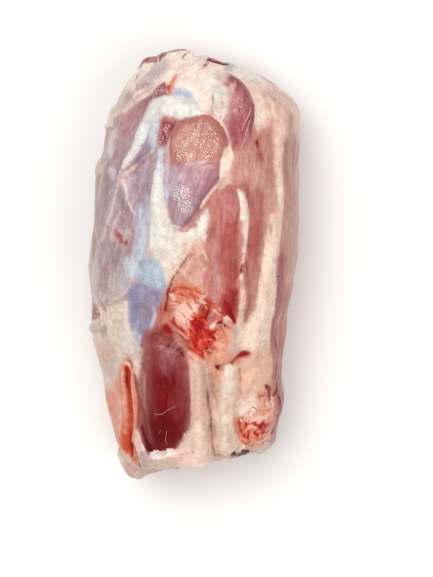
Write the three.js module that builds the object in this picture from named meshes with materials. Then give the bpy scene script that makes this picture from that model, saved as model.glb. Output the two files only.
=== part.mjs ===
// A raw hind shank of beef, trimmed and whole, lying on its flattened underside.
//
// Millimetres, +Z up. The thick upper end of the shank points to +Y, the thin end with the
// cut tendons to -Y, and the smooth outer side faces up. The meat is one closed solid: a
// run of rounded sections, swollen and grooved by the muscles, tendons, seams and scraps
// of fat that show. Every place in the plan is written as [x, y], seen from above.
import * as THREE from 'three';

// ---- Driving dimensions ---------------------------------------------------------------

const SHOULDER_Y = 80; // where the thick end starts to round off
const SHOULDER_REACH = 49; // how far the rounded end reaches past that
const SHOULDER_BLUNTNESS = 0.6; // under 1 keeps the rounded end tall, like a cut end
const RIM_Y = -107; // where the thin end starts to round into its cut face
const RIM_RADIUS = 11;
const CUT_SLANT = 0.11; // rise in y for each mm of x, along the cut at the thin end
const CUT_SLANT_START_Y = -60;

const TOP_POWER = 2.25; // 2 is an ellipse, more is squarer
const UNDER_POWER = 2.7;
const SETTLE = 5; // how far the meat would sink past the surface it lies on
const SETTLE_SOFTNESS = 2; // the edge of the resting patch is rounded over this depth
const SMALLEST_SCALE = 0.05; // keeps a place at the very tip of the thick end on the surface

// The section along the shank: its middle and half width in plan, its height, and the
// level at which it is widest.
const SECTIONS = [
  { y: 129, middle: -5.0, halfWidth: 46.0, height: 92, waist: 42 },
  { y: 103, middle: 6.0, halfWidth: 57.4, height: 92, waist: 42 },
  { y: 80, middle: 4.6, halfWidth: 59.0, height: 94, waist: 42 },
  { y: 58, middle: 1.0, halfWidth: 61.2, height: 97, waist: 43 },
  { y: 20, middle: -1.0, halfWidth: 62.6, height: 99, waist: 43 },
  { y: -12, middle: -3.2, halfWidth: 61.2, height: 96, waist: 42 },
  { y: -45, middle: -4.0, halfWidth: 57.4, height: 90, waist: 39 },
  { y: -80, middle: 0.0, halfWidth: 53.4, height: 82, waist: 36 },
  { y: -107, middle: 1.4, halfWidth: 48.4, height: 76, waist: 34 },
];

// Mesh density. The columns crowd together on the upper side, where the relief is.
const COLUMNS = 84;
const COLUMN_CROWDING = 0.3;
const SHOULDER_RINGS = 14;
const BODY_RINGS = 38;
const RIM_RINGS = 4;
const FACE_RINGS = 8;

// ---- Relief: what swells and what sinks -------------------------------------------------

// The upper side's relief fades in over these levels, counted from the waist.
const UPPER_SIDE = { from: -10, full: 12 };

// Muscles that bulge as ovals. `long` and `wide` are half sizes, `lean` is the turn of the
// long axis from +Y towards +X in degrees, `lift` the swell and `seam` the groove around it.
const OVALS = [
  { at: [1.5, 56.5], long: 35, wide: 16.5, lean: 20, lift: 3.0, seam: 1.2 }, // upper oval muscle
  { at: [-17.5, -77], long: 35, wide: 15.5, lean: 3, lift: 3.4, seam: 1.4 }, // lower dark muscle
  { at: [-28, -20], long: 30, wide: 11, lean: 13, lift: -3.2, seam: 0 }, // hollow under the blue skin
  { at: [6, 107], long: 20, wide: 16, lean: 15, lift: 2.4, seam: 0 }, // fat over the thick end
  { at: [-40, 100], long: 18, wide: 10, lean: 35, lift: 1.8, seam: 0.8 }, // small muscle, left shoulder
  { at: [48, 92], long: 20, wide: 12, lean: -30, lift: 2.2, seam: 0.8 }, // fat of the right shoulder
  { at: [4, -44], long: 13, wide: 9, lean: 10, lift: 1.6, seam: 0.6 }, // bloody cut in the middle
  { at: [39, -88], long: 20, wide: 10, lean: 5, lift: 1.8, seam: 0.5 }, // ragged fat, thin end right
];
const OVAL_FULLNESS = 1.4; // over 1 keeps an oval's swell high nearly to its seam
const OVAL_SEAM_WIDTH = 0.16; // as a share of the half size

// Tendons, strands and long muscle bellies: raised along a line.
const RIDGES = [
  { name: 'kidney shaped muscle', line: [[19, 111], [30, 99], [29, 84], [27, 73]], reach: 9, lift: 2.4 },
  { name: 'arched tendon', reach: 6, lift: 2.2,
    line: [[-3, 95], [-21, 92], [-33, 78], [-42, 55], [-50, 25], [-54, 1]] },
  { name: 'branch strand', line: [[-27, 66], [-39, 54], [-41, 46], [-37, 33]], reach: 5, lift: 1.4 },
  { name: 'left belly', line: [[-46, 74], [-53, 44], [-56, 14], [-56, -12]], reach: 15, lift: 2.4 },
  { name: 'fat column', line: [[-21, 67], [-23, 38], [-17, 11]], reach: 9, lift: 1.8 },
  { name: 'fold of skin', line: [[-52, -22], [-44, -20], [-38, -14], [-36, -8]], reach: 5.5, lift: 2.2 },
  { name: 'flap', line: [[1, 8], [-5, -1], [-10, -12], [-13, -24]], reach: 6, lift: 1.8 },
  { name: 'outer band', line: [[47, 98], [50, 44], [43, 1], [35, -48], [32, -72]], reach: 7, lift: 1.8 },
  { name: 'narrow tendon', line: [[27, 45], [29, 14], [27, -22], [22, -50]], reach: 5, lift: 1.4 },
  { name: 'inner red belly', line: [[21, 42], [19, 8], [18, -30]], reach: 9, lift: 1.8 },
  { name: 'outer red belly', line: [[37, 43], [35, 14], [31, -22]], reach: 7, lift: 1.5 },
  { name: 'left tendon', line: [[0, -64], [0, -82], [1, -100], [3, -116]], reach: 10, lift: 3.4 },
  { name: 'right tendon', line: [[20, -60], [19, -84], [19, -100], [20, -112]], reach: 9, lift: 3.0 },
  { name: 'rim beside the blood strip', line: [[-38, -64], [-36, -82], [-36, -100]], reach: 5.5, lift: 2.6 },
  { name: 'fold of fat on the cut rim', line: [[-28, -116], [-14, -118], [-2, -117]], reach: 7, lift: 2.2 },
  { name: 'cut edge of the thick end', line: [[-33, 117], [-18, 124], [-4, 127]], reach: 5, lift: 1.8 },
];

// Seams between muscles, creases and cuts: sunk along a line.
const GROOVES = [
  { name: 'right of the upper oval', line: [[12, 89], [21, 73], [15, 57], [3, 35]], reach: 5.5, sink: 1.6 },
  { name: 'beside the kidney muscle', line: [[11, 117], [10, 104], [12, 92]], reach: 5.5, sink: 2.0 },
  { name: 'cut below the skin flap', line: [[-5, 7], [-12, -4], [-17, -16], [-18, -28]], reach: 5, sink: 2.0 },
  { name: 'between the tendons', line: [[9, -68], [10, -84], [10, -99], [12, -117]], reach: 6, sink: 4.2 },
  { name: 'blood strip', line: [[-42, -57], [-41, -70], [-41, -84], [-41, -106]], reach: 6.5, sink: 3.0 },
  { name: 'blood crease', line: [[7, -33], [1, -44], [5, -57]], reach: 5, sink: 2.0 },
  { name: 'crossing crease', line: [[-18, -40], [-6, -49], [7, -61]], reach: 5, sink: 1.6 },
  { name: 'slash', line: [[14, -60], [22, -57], [30, -52]], reach: 4.5, sink: 1.5 },
  { name: 'outer hollow', line: [[50, 8], [52, -22], [50, -52], [48, -80]], reach: 7, sink: 1.6 },
  { name: 'slot in the thick end', line: [[8, 124], [14, 123], [20, 121]], reach: 6, sink: 4.0 },
  { name: 'mouth under the fat chip', line: [[22, -115], [29, -115], [35, -114]], reach: 6, sink: 3.0 },
];

// Small round lumps: nodules on the left edge, the fat chip and the tendon nub at the thin
// end, and a lump of fat on the right shoulder.
const LUMPS = [
  { at: [-53, 90], radius: 8, lift: 2.6 },
  { at: [-59, 59], radius: 6, lift: 1.6 },
  { at: [-61, -33], radius: 8, lift: 2.0 },
  { at: [27, -109], radius: 6, lift: 2.8 },
  { at: [39, -110], radius: 8, lift: 3.0 },
  { at: [32, 108], radius: 11, lift: 2.0 },
];

// The uneven edge of the cut at the thin end: how far a stretch of it hangs out towards -Y.
const RIM_LUMPS = [
  { at: [-37, -121], radius: 18, hang: 7 }, // the lump of fat at the left corner
  { at: [-14, -118], radius: 16, hang: 3 }, // the fold of fat beside it
  { at: [41, -114], radius: 20, hang: -4 }, // trimmed back at the right corner
];
const RIM_LUMP_LEVEL = 0.6; // as a share of the height there

// The sides and the underside: long bellies with a seam between one and the next.
const HIDDEN_BELLIES = 9;
const HIDDEN_BELLY_TWIST = 0.006; // radians for each mm along the shank
const HIDDEN_SEAM_DEPTH = 2.6;
const HIDDEN_SEAM_SHARPNESS = 0.45;

// The cut ends: muscle bundles that swell out of their seams. Places are [x, z].
const THIN_END_BUNDLES = [
  [-30, 24], [-29, 50], [-8, 18], [-6, 42], [-5, 62], [14, 30], [16, 54], [34, 24], [34, 46],
];
const THICK_END_BUNDLES = [
  [-38, 30], [-36, 54], [-14, 20], [-12, 44], [-8, 66], [12, 30], [14, 54], [36, 26], [38, 50],
];
const BUNDLE_SWELL = 3;
const BUNDLE_SEAM_WIDTH = 14;
const THICK_CUT = { fromY: 92, fullY: 104, fullZ: 62, toZ: 72 }; // below the fat of the thick end

// Gentle unevenness over everything: waves as [length mm, heading degrees, height mm], with
// the share of the level z that turns them round the sides.
const WAVES = [[71, 12, 0.7], [43, 68, 0.6], [29, -40, 0.45], [19, 25, 0.3]];
const WAVE_TURN = 0.7;

// ---- Helpers ----------------------------------------------------------------------------

const clamp01 = (value) => Math.min(1, Math.max(0, value));
const radians = THREE.MathUtils.degToRad;

function smoothStep(from, to, value) {
  const t = clamp01((value - from) / (to - from));
  return t * t * (3 - 2 * t);
}

/** A round swell: 1 in the middle, 0 from `reach` outwards. */
function swell(distance, reach) {
  return distance < reach ? 0.5 + 0.5 * Math.cos((Math.PI * distance) / reach) : 0;
}

/** One value of the section at y, on a smooth curve through SECTIONS. */
function sectionValue(name, y) {
  const last = SECTIONS.length - 1;
  const at = THREE.MathUtils.clamp(y, SECTIONS[last].y, SECTIONS[0].y);
  let i = 0;
  while (i < last - 1 && at < SECTIONS[i + 1].y) i += 1;
  const before = SECTIONS[Math.max(0, i - 1)];
  const start = SECTIONS[i];
  const end = SECTIONS[i + 1];
  const after = SECTIONS[Math.min(last, i + 2)];
  const span = end.y - start.y;
  const startSlope = ((end[name] - before[name]) / (end.y - before.y)) * span;
  const endSlope = ((after[name] - start[name]) / (after.y - start.y)) * span;
  const t = (at - start.y) / span;
  const rise = end[name] - start[name];
  return start[name] + t * (startSlope + t * (3 * rise - 2 * startSlope - endSlope
    + t * (startSlope + endSlope - 2 * rise)));
}

// ---- The bare form ----------------------------------------------------------------------

/** How much the section shrinks at y, across and in height, where the thick end rounds off. */
function shoulderScale(y) {
  const t = clamp01((y - SHOULDER_Y) / SHOULDER_REACH);
  const across = Math.sqrt(1 - t * t);
  return { across, upright: across ** SHOULDER_BLUNTNESS };
}

/** The slant of the cut at the thin end: how far a point at x moves along y. */
function slantShift(x, y) {
  return CUT_SLANT * x * smoothStep(CUT_SLANT_START_Y, RIM_Y, y);
}

/** The surface of the meat on its resting patch: nothing sinks below z = 0. */
function settle(z) {
  if (z <= -SETTLE_SOFTNESS) return 0;
  if (z >= SETTLE_SOFTNESS) return z;
  return (z + SETTLE_SOFTNESS) ** 2 / (4 * SETTLE_SOFTNESS);
}

/** A point of the section at y, at an angle from +Z towards +X, shrunk by two scales. */
function sectionPoint(y, angle, across, upright) {
  const side = Math.sin(angle);
  const up = Math.cos(angle);
  const power = 2 / (up >= 0 ? TOP_POWER : UNDER_POWER);
  const waist = sectionValue('waist', y);
  const rise = up >= 0 ? sectionValue('height', y) - waist : waist + SETTLE;
  const x = sectionValue('middle', y)
    + sectionValue('halfWidth', y) * across * Math.sign(side) * Math.abs(side) ** power;
  const z = waist + rise * upright * Math.sign(up) * Math.abs(up) ** power;
  return new THREE.Vector3(x, y, z);
}

/** The point of the bare upper side that lies above a place in the plan. */
function onTop([x, y]) {
  const station = Math.max(y - slantShift(x, y), RIM_Y);
  const scale = shoulderScale(station);
  const waist = sectionValue('waist', station);
  const half = sectionValue('halfWidth', station) * Math.max(scale.across, SMALLEST_SCALE);
  const out = clamp01(Math.abs(x - sectionValue('middle', station)) / half);
  const rise = (sectionValue('height', station) - waist) * scale.upright;
  return new THREE.Vector3(x, y, waist + rise * (1 - out ** TOP_POWER) ** (1 / TOP_POWER));
}

/**
 * The rings of the bare form, from the tip of the thick end to the middle of the cut face.
 * Each is its y, its two scales, and how much of it belongs to the cut face (0 to 1).
 */
function makeRings() {
  const rings = [];
  for (let i = 1; i <= SHOULDER_RINGS; i += 1) {
    const y = SHOULDER_Y + SHOULDER_REACH * Math.cos((Math.PI / 2) * (i / (SHOULDER_RINGS + 1)));
    rings.push({ y, ...shoulderScale(y), face: 0 });
  }
  for (let i = 0; i <= BODY_RINGS; i += 1) {
    const y = THREE.MathUtils.lerp(SHOULDER_Y, RIM_Y, i / BODY_RINGS);
    rings.push({ y, across: 1, upright: 1, face: 0 });
  }
  const half = sectionValue('halfWidth', RIM_Y);
  const waist = sectionValue('waist', RIM_Y);
  for (let i = 1; i <= RIM_RINGS; i += 1) {
    const turn = (Math.PI / 2) * (i / RIM_RINGS);
    const inset = RIM_RADIUS * (1 - Math.cos(turn));
    rings.push({ y: RIM_Y - RIM_RADIUS * Math.sin(turn), across: 1 - inset / half,
      upright: 1 - inset / waist, face: i / RIM_RINGS });
  }
  const rim = rings.at(-1);
  for (let i = 1; i < FACE_RINGS; i += 1) {
    const left = 1 - i / FACE_RINGS;
    rings.push({ y: rim.y, across: rim.across * left, upright: rim.upright * left, face: 1 });
  }
  return rings;
}

/** The angle of a column, from the top round by +X. Columns are closer on the upper side. */
function columnAngle(column) {
  const even = 2 * Math.PI * (column / COLUMNS);
  return even - COLUMN_CROWDING * Math.sin(even);
}

// ---- The relief -------------------------------------------------------------------------

/** Distance from a point to a line on the upper side. */
function distanceToLine(point, line) {
  const nearest = new THREE.Vector3();
  return Math.min(...line.map((piece) => {
    piece.closestPointToPoint(point, true, nearest);
    return nearest.distanceTo(point);
  }));
}

/** The line on the upper side that lies above a line in the plan. */
function liftedLine(places) {
  const points = places.map(onTop);
  return points.slice(1).map((end, i) => new THREE.Line3(points[i], end));
}

/** The swell or hollow of an oval muscle at a place in the plan, with the seam round it. */
function ovalRelief(oval, x, y) {
  const lean = radians(oval.lean);
  const dx = x - oval.at[0];
  const dy = y - oval.at[1];
  const along = (dx * Math.sin(lean) + dy * Math.cos(lean)) / oval.long;
  const aside = (dx * Math.cos(lean) - dy * Math.sin(lean)) / oval.wide;
  const out = Math.hypot(along, aside);
  const seam = Math.exp(-(((out - 1) / OVAL_SEAM_WIDTH) ** 2));
  return oval.lift * swell(out ** OVAL_FULLNESS, 1) - oval.seam * seam;
}

/** The swell of the cut bundles at [x, z]: full on a bundle, none on the seam between two. */
function bundleRelief(bundles, x, z) {
  const reach = bundles.map(([bx, bz]) => Math.hypot(x - bx, z - bz)).sort((a, b) => a - b);
  return BUNDLE_SWELL * smoothStep(0, BUNDLE_SEAM_WIDTH, reach[1] - reach[0]);
}

/** The long bellies of the sides and the underside, as a groove along each seam. */
function hiddenBellyRelief(angle, y) {
  const phase = 0.5 * HIDDEN_BELLIES * (angle + HIDDEN_BELLY_TWIST * y);
  return -HIDDEN_SEAM_DEPTH * (1 - Math.abs(Math.sin(phase)) ** HIDDEN_SEAM_SHARPNESS);
}

function waveRelief({ x, y, z }) {
  let height = 0;
  for (const [length, heading, rise] of WAVES) {
    const along = x * Math.cos(radians(heading)) + y * Math.sin(radians(heading)) + WAVE_TURN * z;
    height += rise * Math.sin((2 * Math.PI * along) / length);
  }
  return height;
}

const ridgeLines = RIDGES.map((ridge) => liftedLine(ridge.line));
const grooveLines = GROOVES.map((groove) => liftedLine(groove.line));
const lumpPoints = LUMPS.map((lump) => onTop(lump.at));

/** How far the surface stands out of the bare form at one of its points. */
function relief(point, angle, face) {
  const waist = sectionValue('waist', point.y);
  const upperSide = smoothStep(waist + UPPER_SIDE.from, waist + UPPER_SIDE.full, point.z)
    * (1 - face);
  let height = waveRelief(point) * (1 - face);
  height += hiddenBellyRelief(angle, point.y) * (1 - upperSide) * (1 - face);
  RIDGES.forEach((ridge, i) => {
    height += ridge.lift * swell(distanceToLine(point, ridgeLines[i]), ridge.reach);
  });
  GROOVES.forEach((groove, i) => {
    height -= groove.sink * swell(distanceToLine(point, grooveLines[i]), groove.reach);
  });
  LUMPS.forEach((lump, i) => {
    height += lump.lift * swell(point.distanceTo(lumpPoints[i]), lump.radius);
  });
  for (const oval of OVALS) height += upperSide * ovalRelief(oval, point.x, point.y);
  height += face * bundleRelief(THIN_END_BUNDLES, point.x, point.z);
  const thickCut = smoothStep(THICK_CUT.fromY, THICK_CUT.fullY, point.y)
    * (1 - smoothStep(THICK_CUT.fullZ, THICK_CUT.toZ, point.z));
  height += thickCut * bundleRelief(THICK_END_BUNDLES, point.x, point.z);
  return height;
}

/** How far the uneven edge of the thin end hangs out towards -Y at a point. */
function rimHang(point) {
  const level = RIM_LUMP_LEVEL * sectionValue('height', RIM_Y);
  return RIM_LUMPS.reduce((hang, lump) => {
    const away = Math.hypot(point.x - lump.at[0], point.y - lump.at[1], point.z - level);
    return hang + lump.hang * swell(away, lump.radius);
  }, 0);
}

// ---- The mesh ---------------------------------------------------------------------------

/** The closed skin of the bare form: rings of points with a pole at either end. */
function bareSkin() {
  const rings = makeRings();
  const points = [];
  const angles = [];
  const faces = [];
  const push = (y, across, upright, face, angle) => {
    const point = sectionPoint(y, angle, across, upright);
    point.y += slantShift(point.x, y);
    points.push(point);
    angles.push(angle);
    faces.push(face);
  };
  push(SHOULDER_Y + SHOULDER_REACH, 0, 0, 0, 0);
  for (const ring of rings) {
    for (let column = 0; column < COLUMNS; column += 1) {
      push(ring.y, ring.across, ring.upright, ring.face, columnAngle(column));
    }
  }
  push(RIM_Y - RIM_RADIUS, 0, 0, 1, 0);

  const corner = (ring, column) => 1 + ring * COLUMNS + (column % COLUMNS);
  const endPole = points.length - 1;
  const triangles = [];
  const quads = [];
  for (let column = 0; column < COLUMNS; column += 1) {
    triangles.push(0, corner(0, column), corner(0, column + 1));
    triangles.push(endPole, corner(rings.length - 1, column + 1), corner(rings.length - 1, column));
    for (let ring = 0; ring < rings.length - 1; ring += 1) {
      quads.push([corner(ring, column), corner(ring + 1, column),
        corner(ring + 1, column + 1), corner(ring, column + 1)]);
    }
  }
  return { points, angles, faces, triangles, quads };
}

/** Each quad split along its shorter diagonal, so that folds run clean across the rings. */
function splitQuads(quads, points) {
  return quads.flatMap(([a, b, c, d]) => (
    points[a].distanceTo(points[c]) < points[b].distanceTo(points[d])
      ? [a, b, c, a, c, d]
      : [a, b, d, b, c, d]));
}

/** The finished meat: the bare skin, moved out and in by the relief, resting on z = 0. */
function shankGeometry() {
  const { points, angles, faces, triangles, quads } = bareSkin();
  const bareGeometry = new THREE.BufferGeometry().setFromPoints(points);
  bareGeometry.setIndex([...triangles, ...splitQuads(quads, points)]);
  bareGeometry.computeVertexNormals();
  const normal = bareGeometry.getAttribute('normal');
  const shaped = points.map((bare, i) => {
    const outward = new THREE.Vector3().fromBufferAttribute(normal, i);
    const moved = bare.clone().addScaledVector(outward, relief(bare, angles[i], faces[i]));
    return new THREE.Vector3(moved.x, moved.y - rimHang(bare), settle(moved.z));
  });
  const geometry = new THREE.BufferGeometry().setFromPoints(shaped);
  geometry.setIndex([...triangles, ...splitQuads(quads, shaped)]);
  geometry.computeBoundingBox();
  const { min, max } = geometry.boundingBox;
  geometry.translate(-0.5 * (min.x + max.x), -0.5 * (min.y + max.y), -min.z);
  geometry.computeVertexNormals();
  return geometry;
}

const rawMeat = new THREE.MeshStandardMaterial({ color: '#c98f86', roughness: 0.38, metalness: 0 });
const shank = new THREE.Mesh(shankGeometry(), rawMeat);
shank.name = 'hind_shank';

const group = new THREE.Group();
group.add(shank);

export default group;
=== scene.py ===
"""A raw hind shank of beef, whole and trimmed, lying on its flattened side.

The meat is one skin of mesh round a run of sections. Its tissues are laid on it one over
the other, as they lie on the real thing: flesh first, then fat, the thin film over the
muscles, and blood. Some layers are painted highlights, glints and painted shade, laid as
one of these tissues. Each layer can also lift or sink the skin. Lengths in the layers are
millimetres and their places are seen from above, [x, y]; Blender's own unit is the metre.
"""

import logging
import math
from collections.abc import Sequence
from dataclasses import dataclass, field
from enum import Enum, IntEnum
from typing import Any

import bpy
import numpy as np
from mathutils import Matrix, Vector


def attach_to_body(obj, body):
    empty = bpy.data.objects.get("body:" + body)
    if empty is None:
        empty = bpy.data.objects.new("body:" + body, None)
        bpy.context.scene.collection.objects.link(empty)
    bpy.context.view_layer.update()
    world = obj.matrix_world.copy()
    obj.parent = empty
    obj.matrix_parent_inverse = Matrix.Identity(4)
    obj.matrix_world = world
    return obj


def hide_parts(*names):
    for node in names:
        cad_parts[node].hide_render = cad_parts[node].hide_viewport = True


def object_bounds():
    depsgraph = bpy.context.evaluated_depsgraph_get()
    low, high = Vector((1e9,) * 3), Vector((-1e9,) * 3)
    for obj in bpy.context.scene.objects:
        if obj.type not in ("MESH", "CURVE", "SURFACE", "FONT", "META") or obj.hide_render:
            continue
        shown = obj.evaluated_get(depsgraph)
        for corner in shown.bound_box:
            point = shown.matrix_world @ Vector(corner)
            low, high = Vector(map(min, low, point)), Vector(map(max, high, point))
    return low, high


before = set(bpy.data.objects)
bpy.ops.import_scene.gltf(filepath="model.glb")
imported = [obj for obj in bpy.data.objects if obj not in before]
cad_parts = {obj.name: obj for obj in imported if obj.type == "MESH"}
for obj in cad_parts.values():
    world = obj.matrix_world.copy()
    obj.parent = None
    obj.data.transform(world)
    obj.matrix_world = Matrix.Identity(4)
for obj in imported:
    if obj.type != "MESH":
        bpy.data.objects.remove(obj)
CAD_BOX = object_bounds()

log = logging.getLogger("hind_shank")

MM = 0.001
NODE = "hind_shank"
BODY = "root"
PHOTO_SIZE = (433, 577)  # the frame that the camera is set for, in pixels
MM_PER_PIXEL = 0.602  # of that frame, at the level of the meat

Place = tuple[float, float]
WidePlace = tuple[float, float, float]
Socket = bpy.types.NodeSocket


class Seed(IntEnum):
    """Where the random numbers of each pattern start; a layered pattern counts on from there."""

    EDGES = 11
    MOTTLES = 21
    SPOTS = 26
    BELLIES = 31
    SEAMS = 32
    SIDE_FILM = 33
    STAINS = 34
    BUNDLES = 41
    WET_PLACES = 43
    CUT_GRAIN = 44
    FIBRES = 51
    FAT_LUMPS = 52
    FINE_LUMPS = 55
    FIBRE_BENDS = 61
    THREADS = 71
    BEADS = 81


# ---------------------------------------------------------------------------------------
# Small helpers
# ---------------------------------------------------------------------------------------

def srgb(code: str) -> np.ndarray:
    """The three sRGB values (0 to 1) of a colour code such as "#c98f86"."""
    return np.array([int(code[i:i + 2], 16) for i in (1, 3, 5)]) / 255.0


def to_linear(colour: np.ndarray) -> np.ndarray:
    """Turns sRGB values into the linear values that Blender's materials take."""
    colour = np.clip(colour, 0.0, 1.0)
    return np.where(colour <= 0.04045, colour / 12.92, ((colour + 0.055) / 1.055) ** 2.4)


def paint(code: str) -> tuple[float, float, float, float]:
    """A colour code as a linear RGBA value for a shader socket."""
    red, green, blue = to_linear(srgb(code))
    return (float(red), float(green), float(blue), 1.0)


def smooth_step(low: float, high: float, value: np.ndarray) -> np.ndarray:
    """0 up to `low`, 1 from `high`, and a smooth rise between them."""
    t = np.clip((value - low) / (high - low), 0.0, 1.0)
    return t * t * (3.0 - 2.0 * t)


def swell(distance: np.ndarray, reach: float | np.ndarray) -> np.ndarray:
    """A round bump: 1 where the distance is 0, and 0 from `reach` outwards."""
    return 0.5 + 0.5 * np.cos(np.pi * np.clip(distance / reach, 0.0, 1.0))


# Large odd numbers that scatter the bits of a cell's place, as hash functions use them.
HASH_X, HASH_Y, HASH_Z, HASH_SEED, HASH_MIX = 374761393, 668265263, 1440662683, 982451653, 1274126177
HASH_BITS, LOW_BITS = 0xFFFFFFFF, 0xFFFF


def unevenness(points: np.ndarray, size: float | Sequence[float], seed: int) -> np.ndarray:
    """Smooth random values between -1 and 1, the same on every run.

    Args:
        points: Places, one row of three numbers each.
        size: Length of one bump, or one length for each axis, in the unit of `points`.
        seed: Chooses the pattern.

    Returns:
        One value for each point.
    """
    grid = points / np.asarray(size, float)
    cell = np.floor(grid).astype(np.int64)
    part = grid - cell
    fade = part * part * part * (part * (part * 6.0 - 15.0) + 10.0)
    total = np.zeros(len(points))
    for dx in (0, 1):
        for dy in (0, 1):
            for dz in (0, 1):
                mixed = ((cell[:, 0] + dx) * HASH_X + (cell[:, 1] + dy) * HASH_Y
                         + (cell[:, 2] + dz) * HASH_Z + seed * HASH_SEED) & HASH_BITS
                mixed = ((mixed ^ (mixed >> 13)) * HASH_MIX) & HASH_BITS
                mixed = ((mixed ^ (mixed >> 16)) & LOW_BITS) / (0.5 * LOW_BITS) - 1.0
                weight = (np.abs(1 - dx - fade[:, 0]) * np.abs(1 - dy - fade[:, 1])
                          * np.abs(1 - dz - fade[:, 2]))
                total += weight * mixed
    return total


FINER, WEAKER = 2.1, 1.8  # each layer of unevenness against the one before it


def layered_unevenness(points: np.ndarray, size: float, seed: int, layers: int = 3) -> np.ndarray:
    """Unevenness with finer and weaker unevenness on top of it.

    Args:
        points: Places, one row of three numbers each.
        size: Length of one bump of the coarsest layer.
        seed: Chooses the pattern.
        layers: How many layers there are.

    Returns:
        One value for each point.
    """
    total = np.zeros(len(points))
    for layer in range(layers):
        total += unevenness(points, size / FINER ** layer, seed + layer) / WEAKER ** layer
    return total


def add_node(tree: bpy.types.NodeTree, kind: str, inputs: dict[Any, Any] | None = None,
             **settings: Any) -> bpy.types.Node:
    """Adds a node to a tree.

    Args:
        tree: The tree that gets the node.
        kind: Blender's name for the kind of node.
        inputs: What goes into its sockets, by socket name or number: a socket is linked,
            and anything else is set as the value.
        **settings: Attributes of the node itself.

    Returns:
        The new node.
    """
    node = tree.nodes.new(kind)
    for name, value in settings.items():
        setattr(node, name, value)
    for key, value in (inputs or {}).items():
        if isinstance(value, bpy.types.NodeSocket):
            tree.links.new(value, node.inputs[key])
        else:
            node.inputs[key].default_value = value
    return node


# ---------------------------------------------------------------------------------------
# The form of the meat
# ---------------------------------------------------------------------------------------

@dataclass(frozen=True)
class Section:
    """One section across the shank, in millimetres.

    Attributes:
        y: Its place along the shank.
        middle: x of its middle.
        half_width: Half its width.
        height: Height of its top above the table.
        waist: Height at which it is widest.
    """

    y: float
    middle: float
    half_width: float
    height: float
    waist: float


@dataclass
class Skin:
    """The points of the meat's surface, ring by ring from the thick end to the thin one.

    Every array has one row for each ring and one column for each point of the ring.

    Attributes:
        places: The points, in millimetres.
        outward: The direction straight out of the surface at each point.
        angle: Angle of each column, from the top round by +X.
        q: Place across, as seen from above, and past the widest level counted on down the
            side, so that one number tells every point of a ring apart.
        run: Place along: y as seen from above, and past the thin end's rim counted on
            towards the middle of the cut face.
        face: 1 on the thin end's cut face, 0 off it.
        inset: Distance from the rim of that face, inwards.
        upper: 1 on the upper side, 0 on the underside, and a rise between them.
    """

    places: np.ndarray
    outward: np.ndarray
    angle: np.ndarray
    q: np.ndarray
    run: np.ndarray
    face: np.ndarray
    inset: np.ndarray
    upper: np.ndarray

    def at(self, values: np.ndarray, spot: Sequence[float]) -> np.ndarray:
        """Reads an array of three values a point at a spot of the surface.

        Args:
            values: The array, one row for each ring.
            spot: The spot, as (q, run).

        Returns:
            The three values there.
        """
        across, along = spot
        centre = self.run[:, 0]
        ring = float(np.interp(-along, -centre, np.arange(len(centre))))
        low = min(int(ring), len(centre) - 2)
        ends = []
        for row in (low, low + 1):
            order = np.argsort(self.q[row])
            ends.append([np.interp(across, self.q[row][order], values[row][order, axis])
                         for axis in range(3)])
        return np.array(ends[0]) * (1.0 + low - ring) + np.array(ends[1]) * (ring - low)

    def lift(self, spot: Sequence[float]) -> np.ndarray:
        """The point of the surface at a spot given as (q, run)."""
        return self.at(self.places, spot)

    def way_out(self, spot: Sequence[float]) -> np.ndarray:
        """The direction out of the surface at a spot given as (q, run)."""
        return self.at(self.outward, spot)


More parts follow.
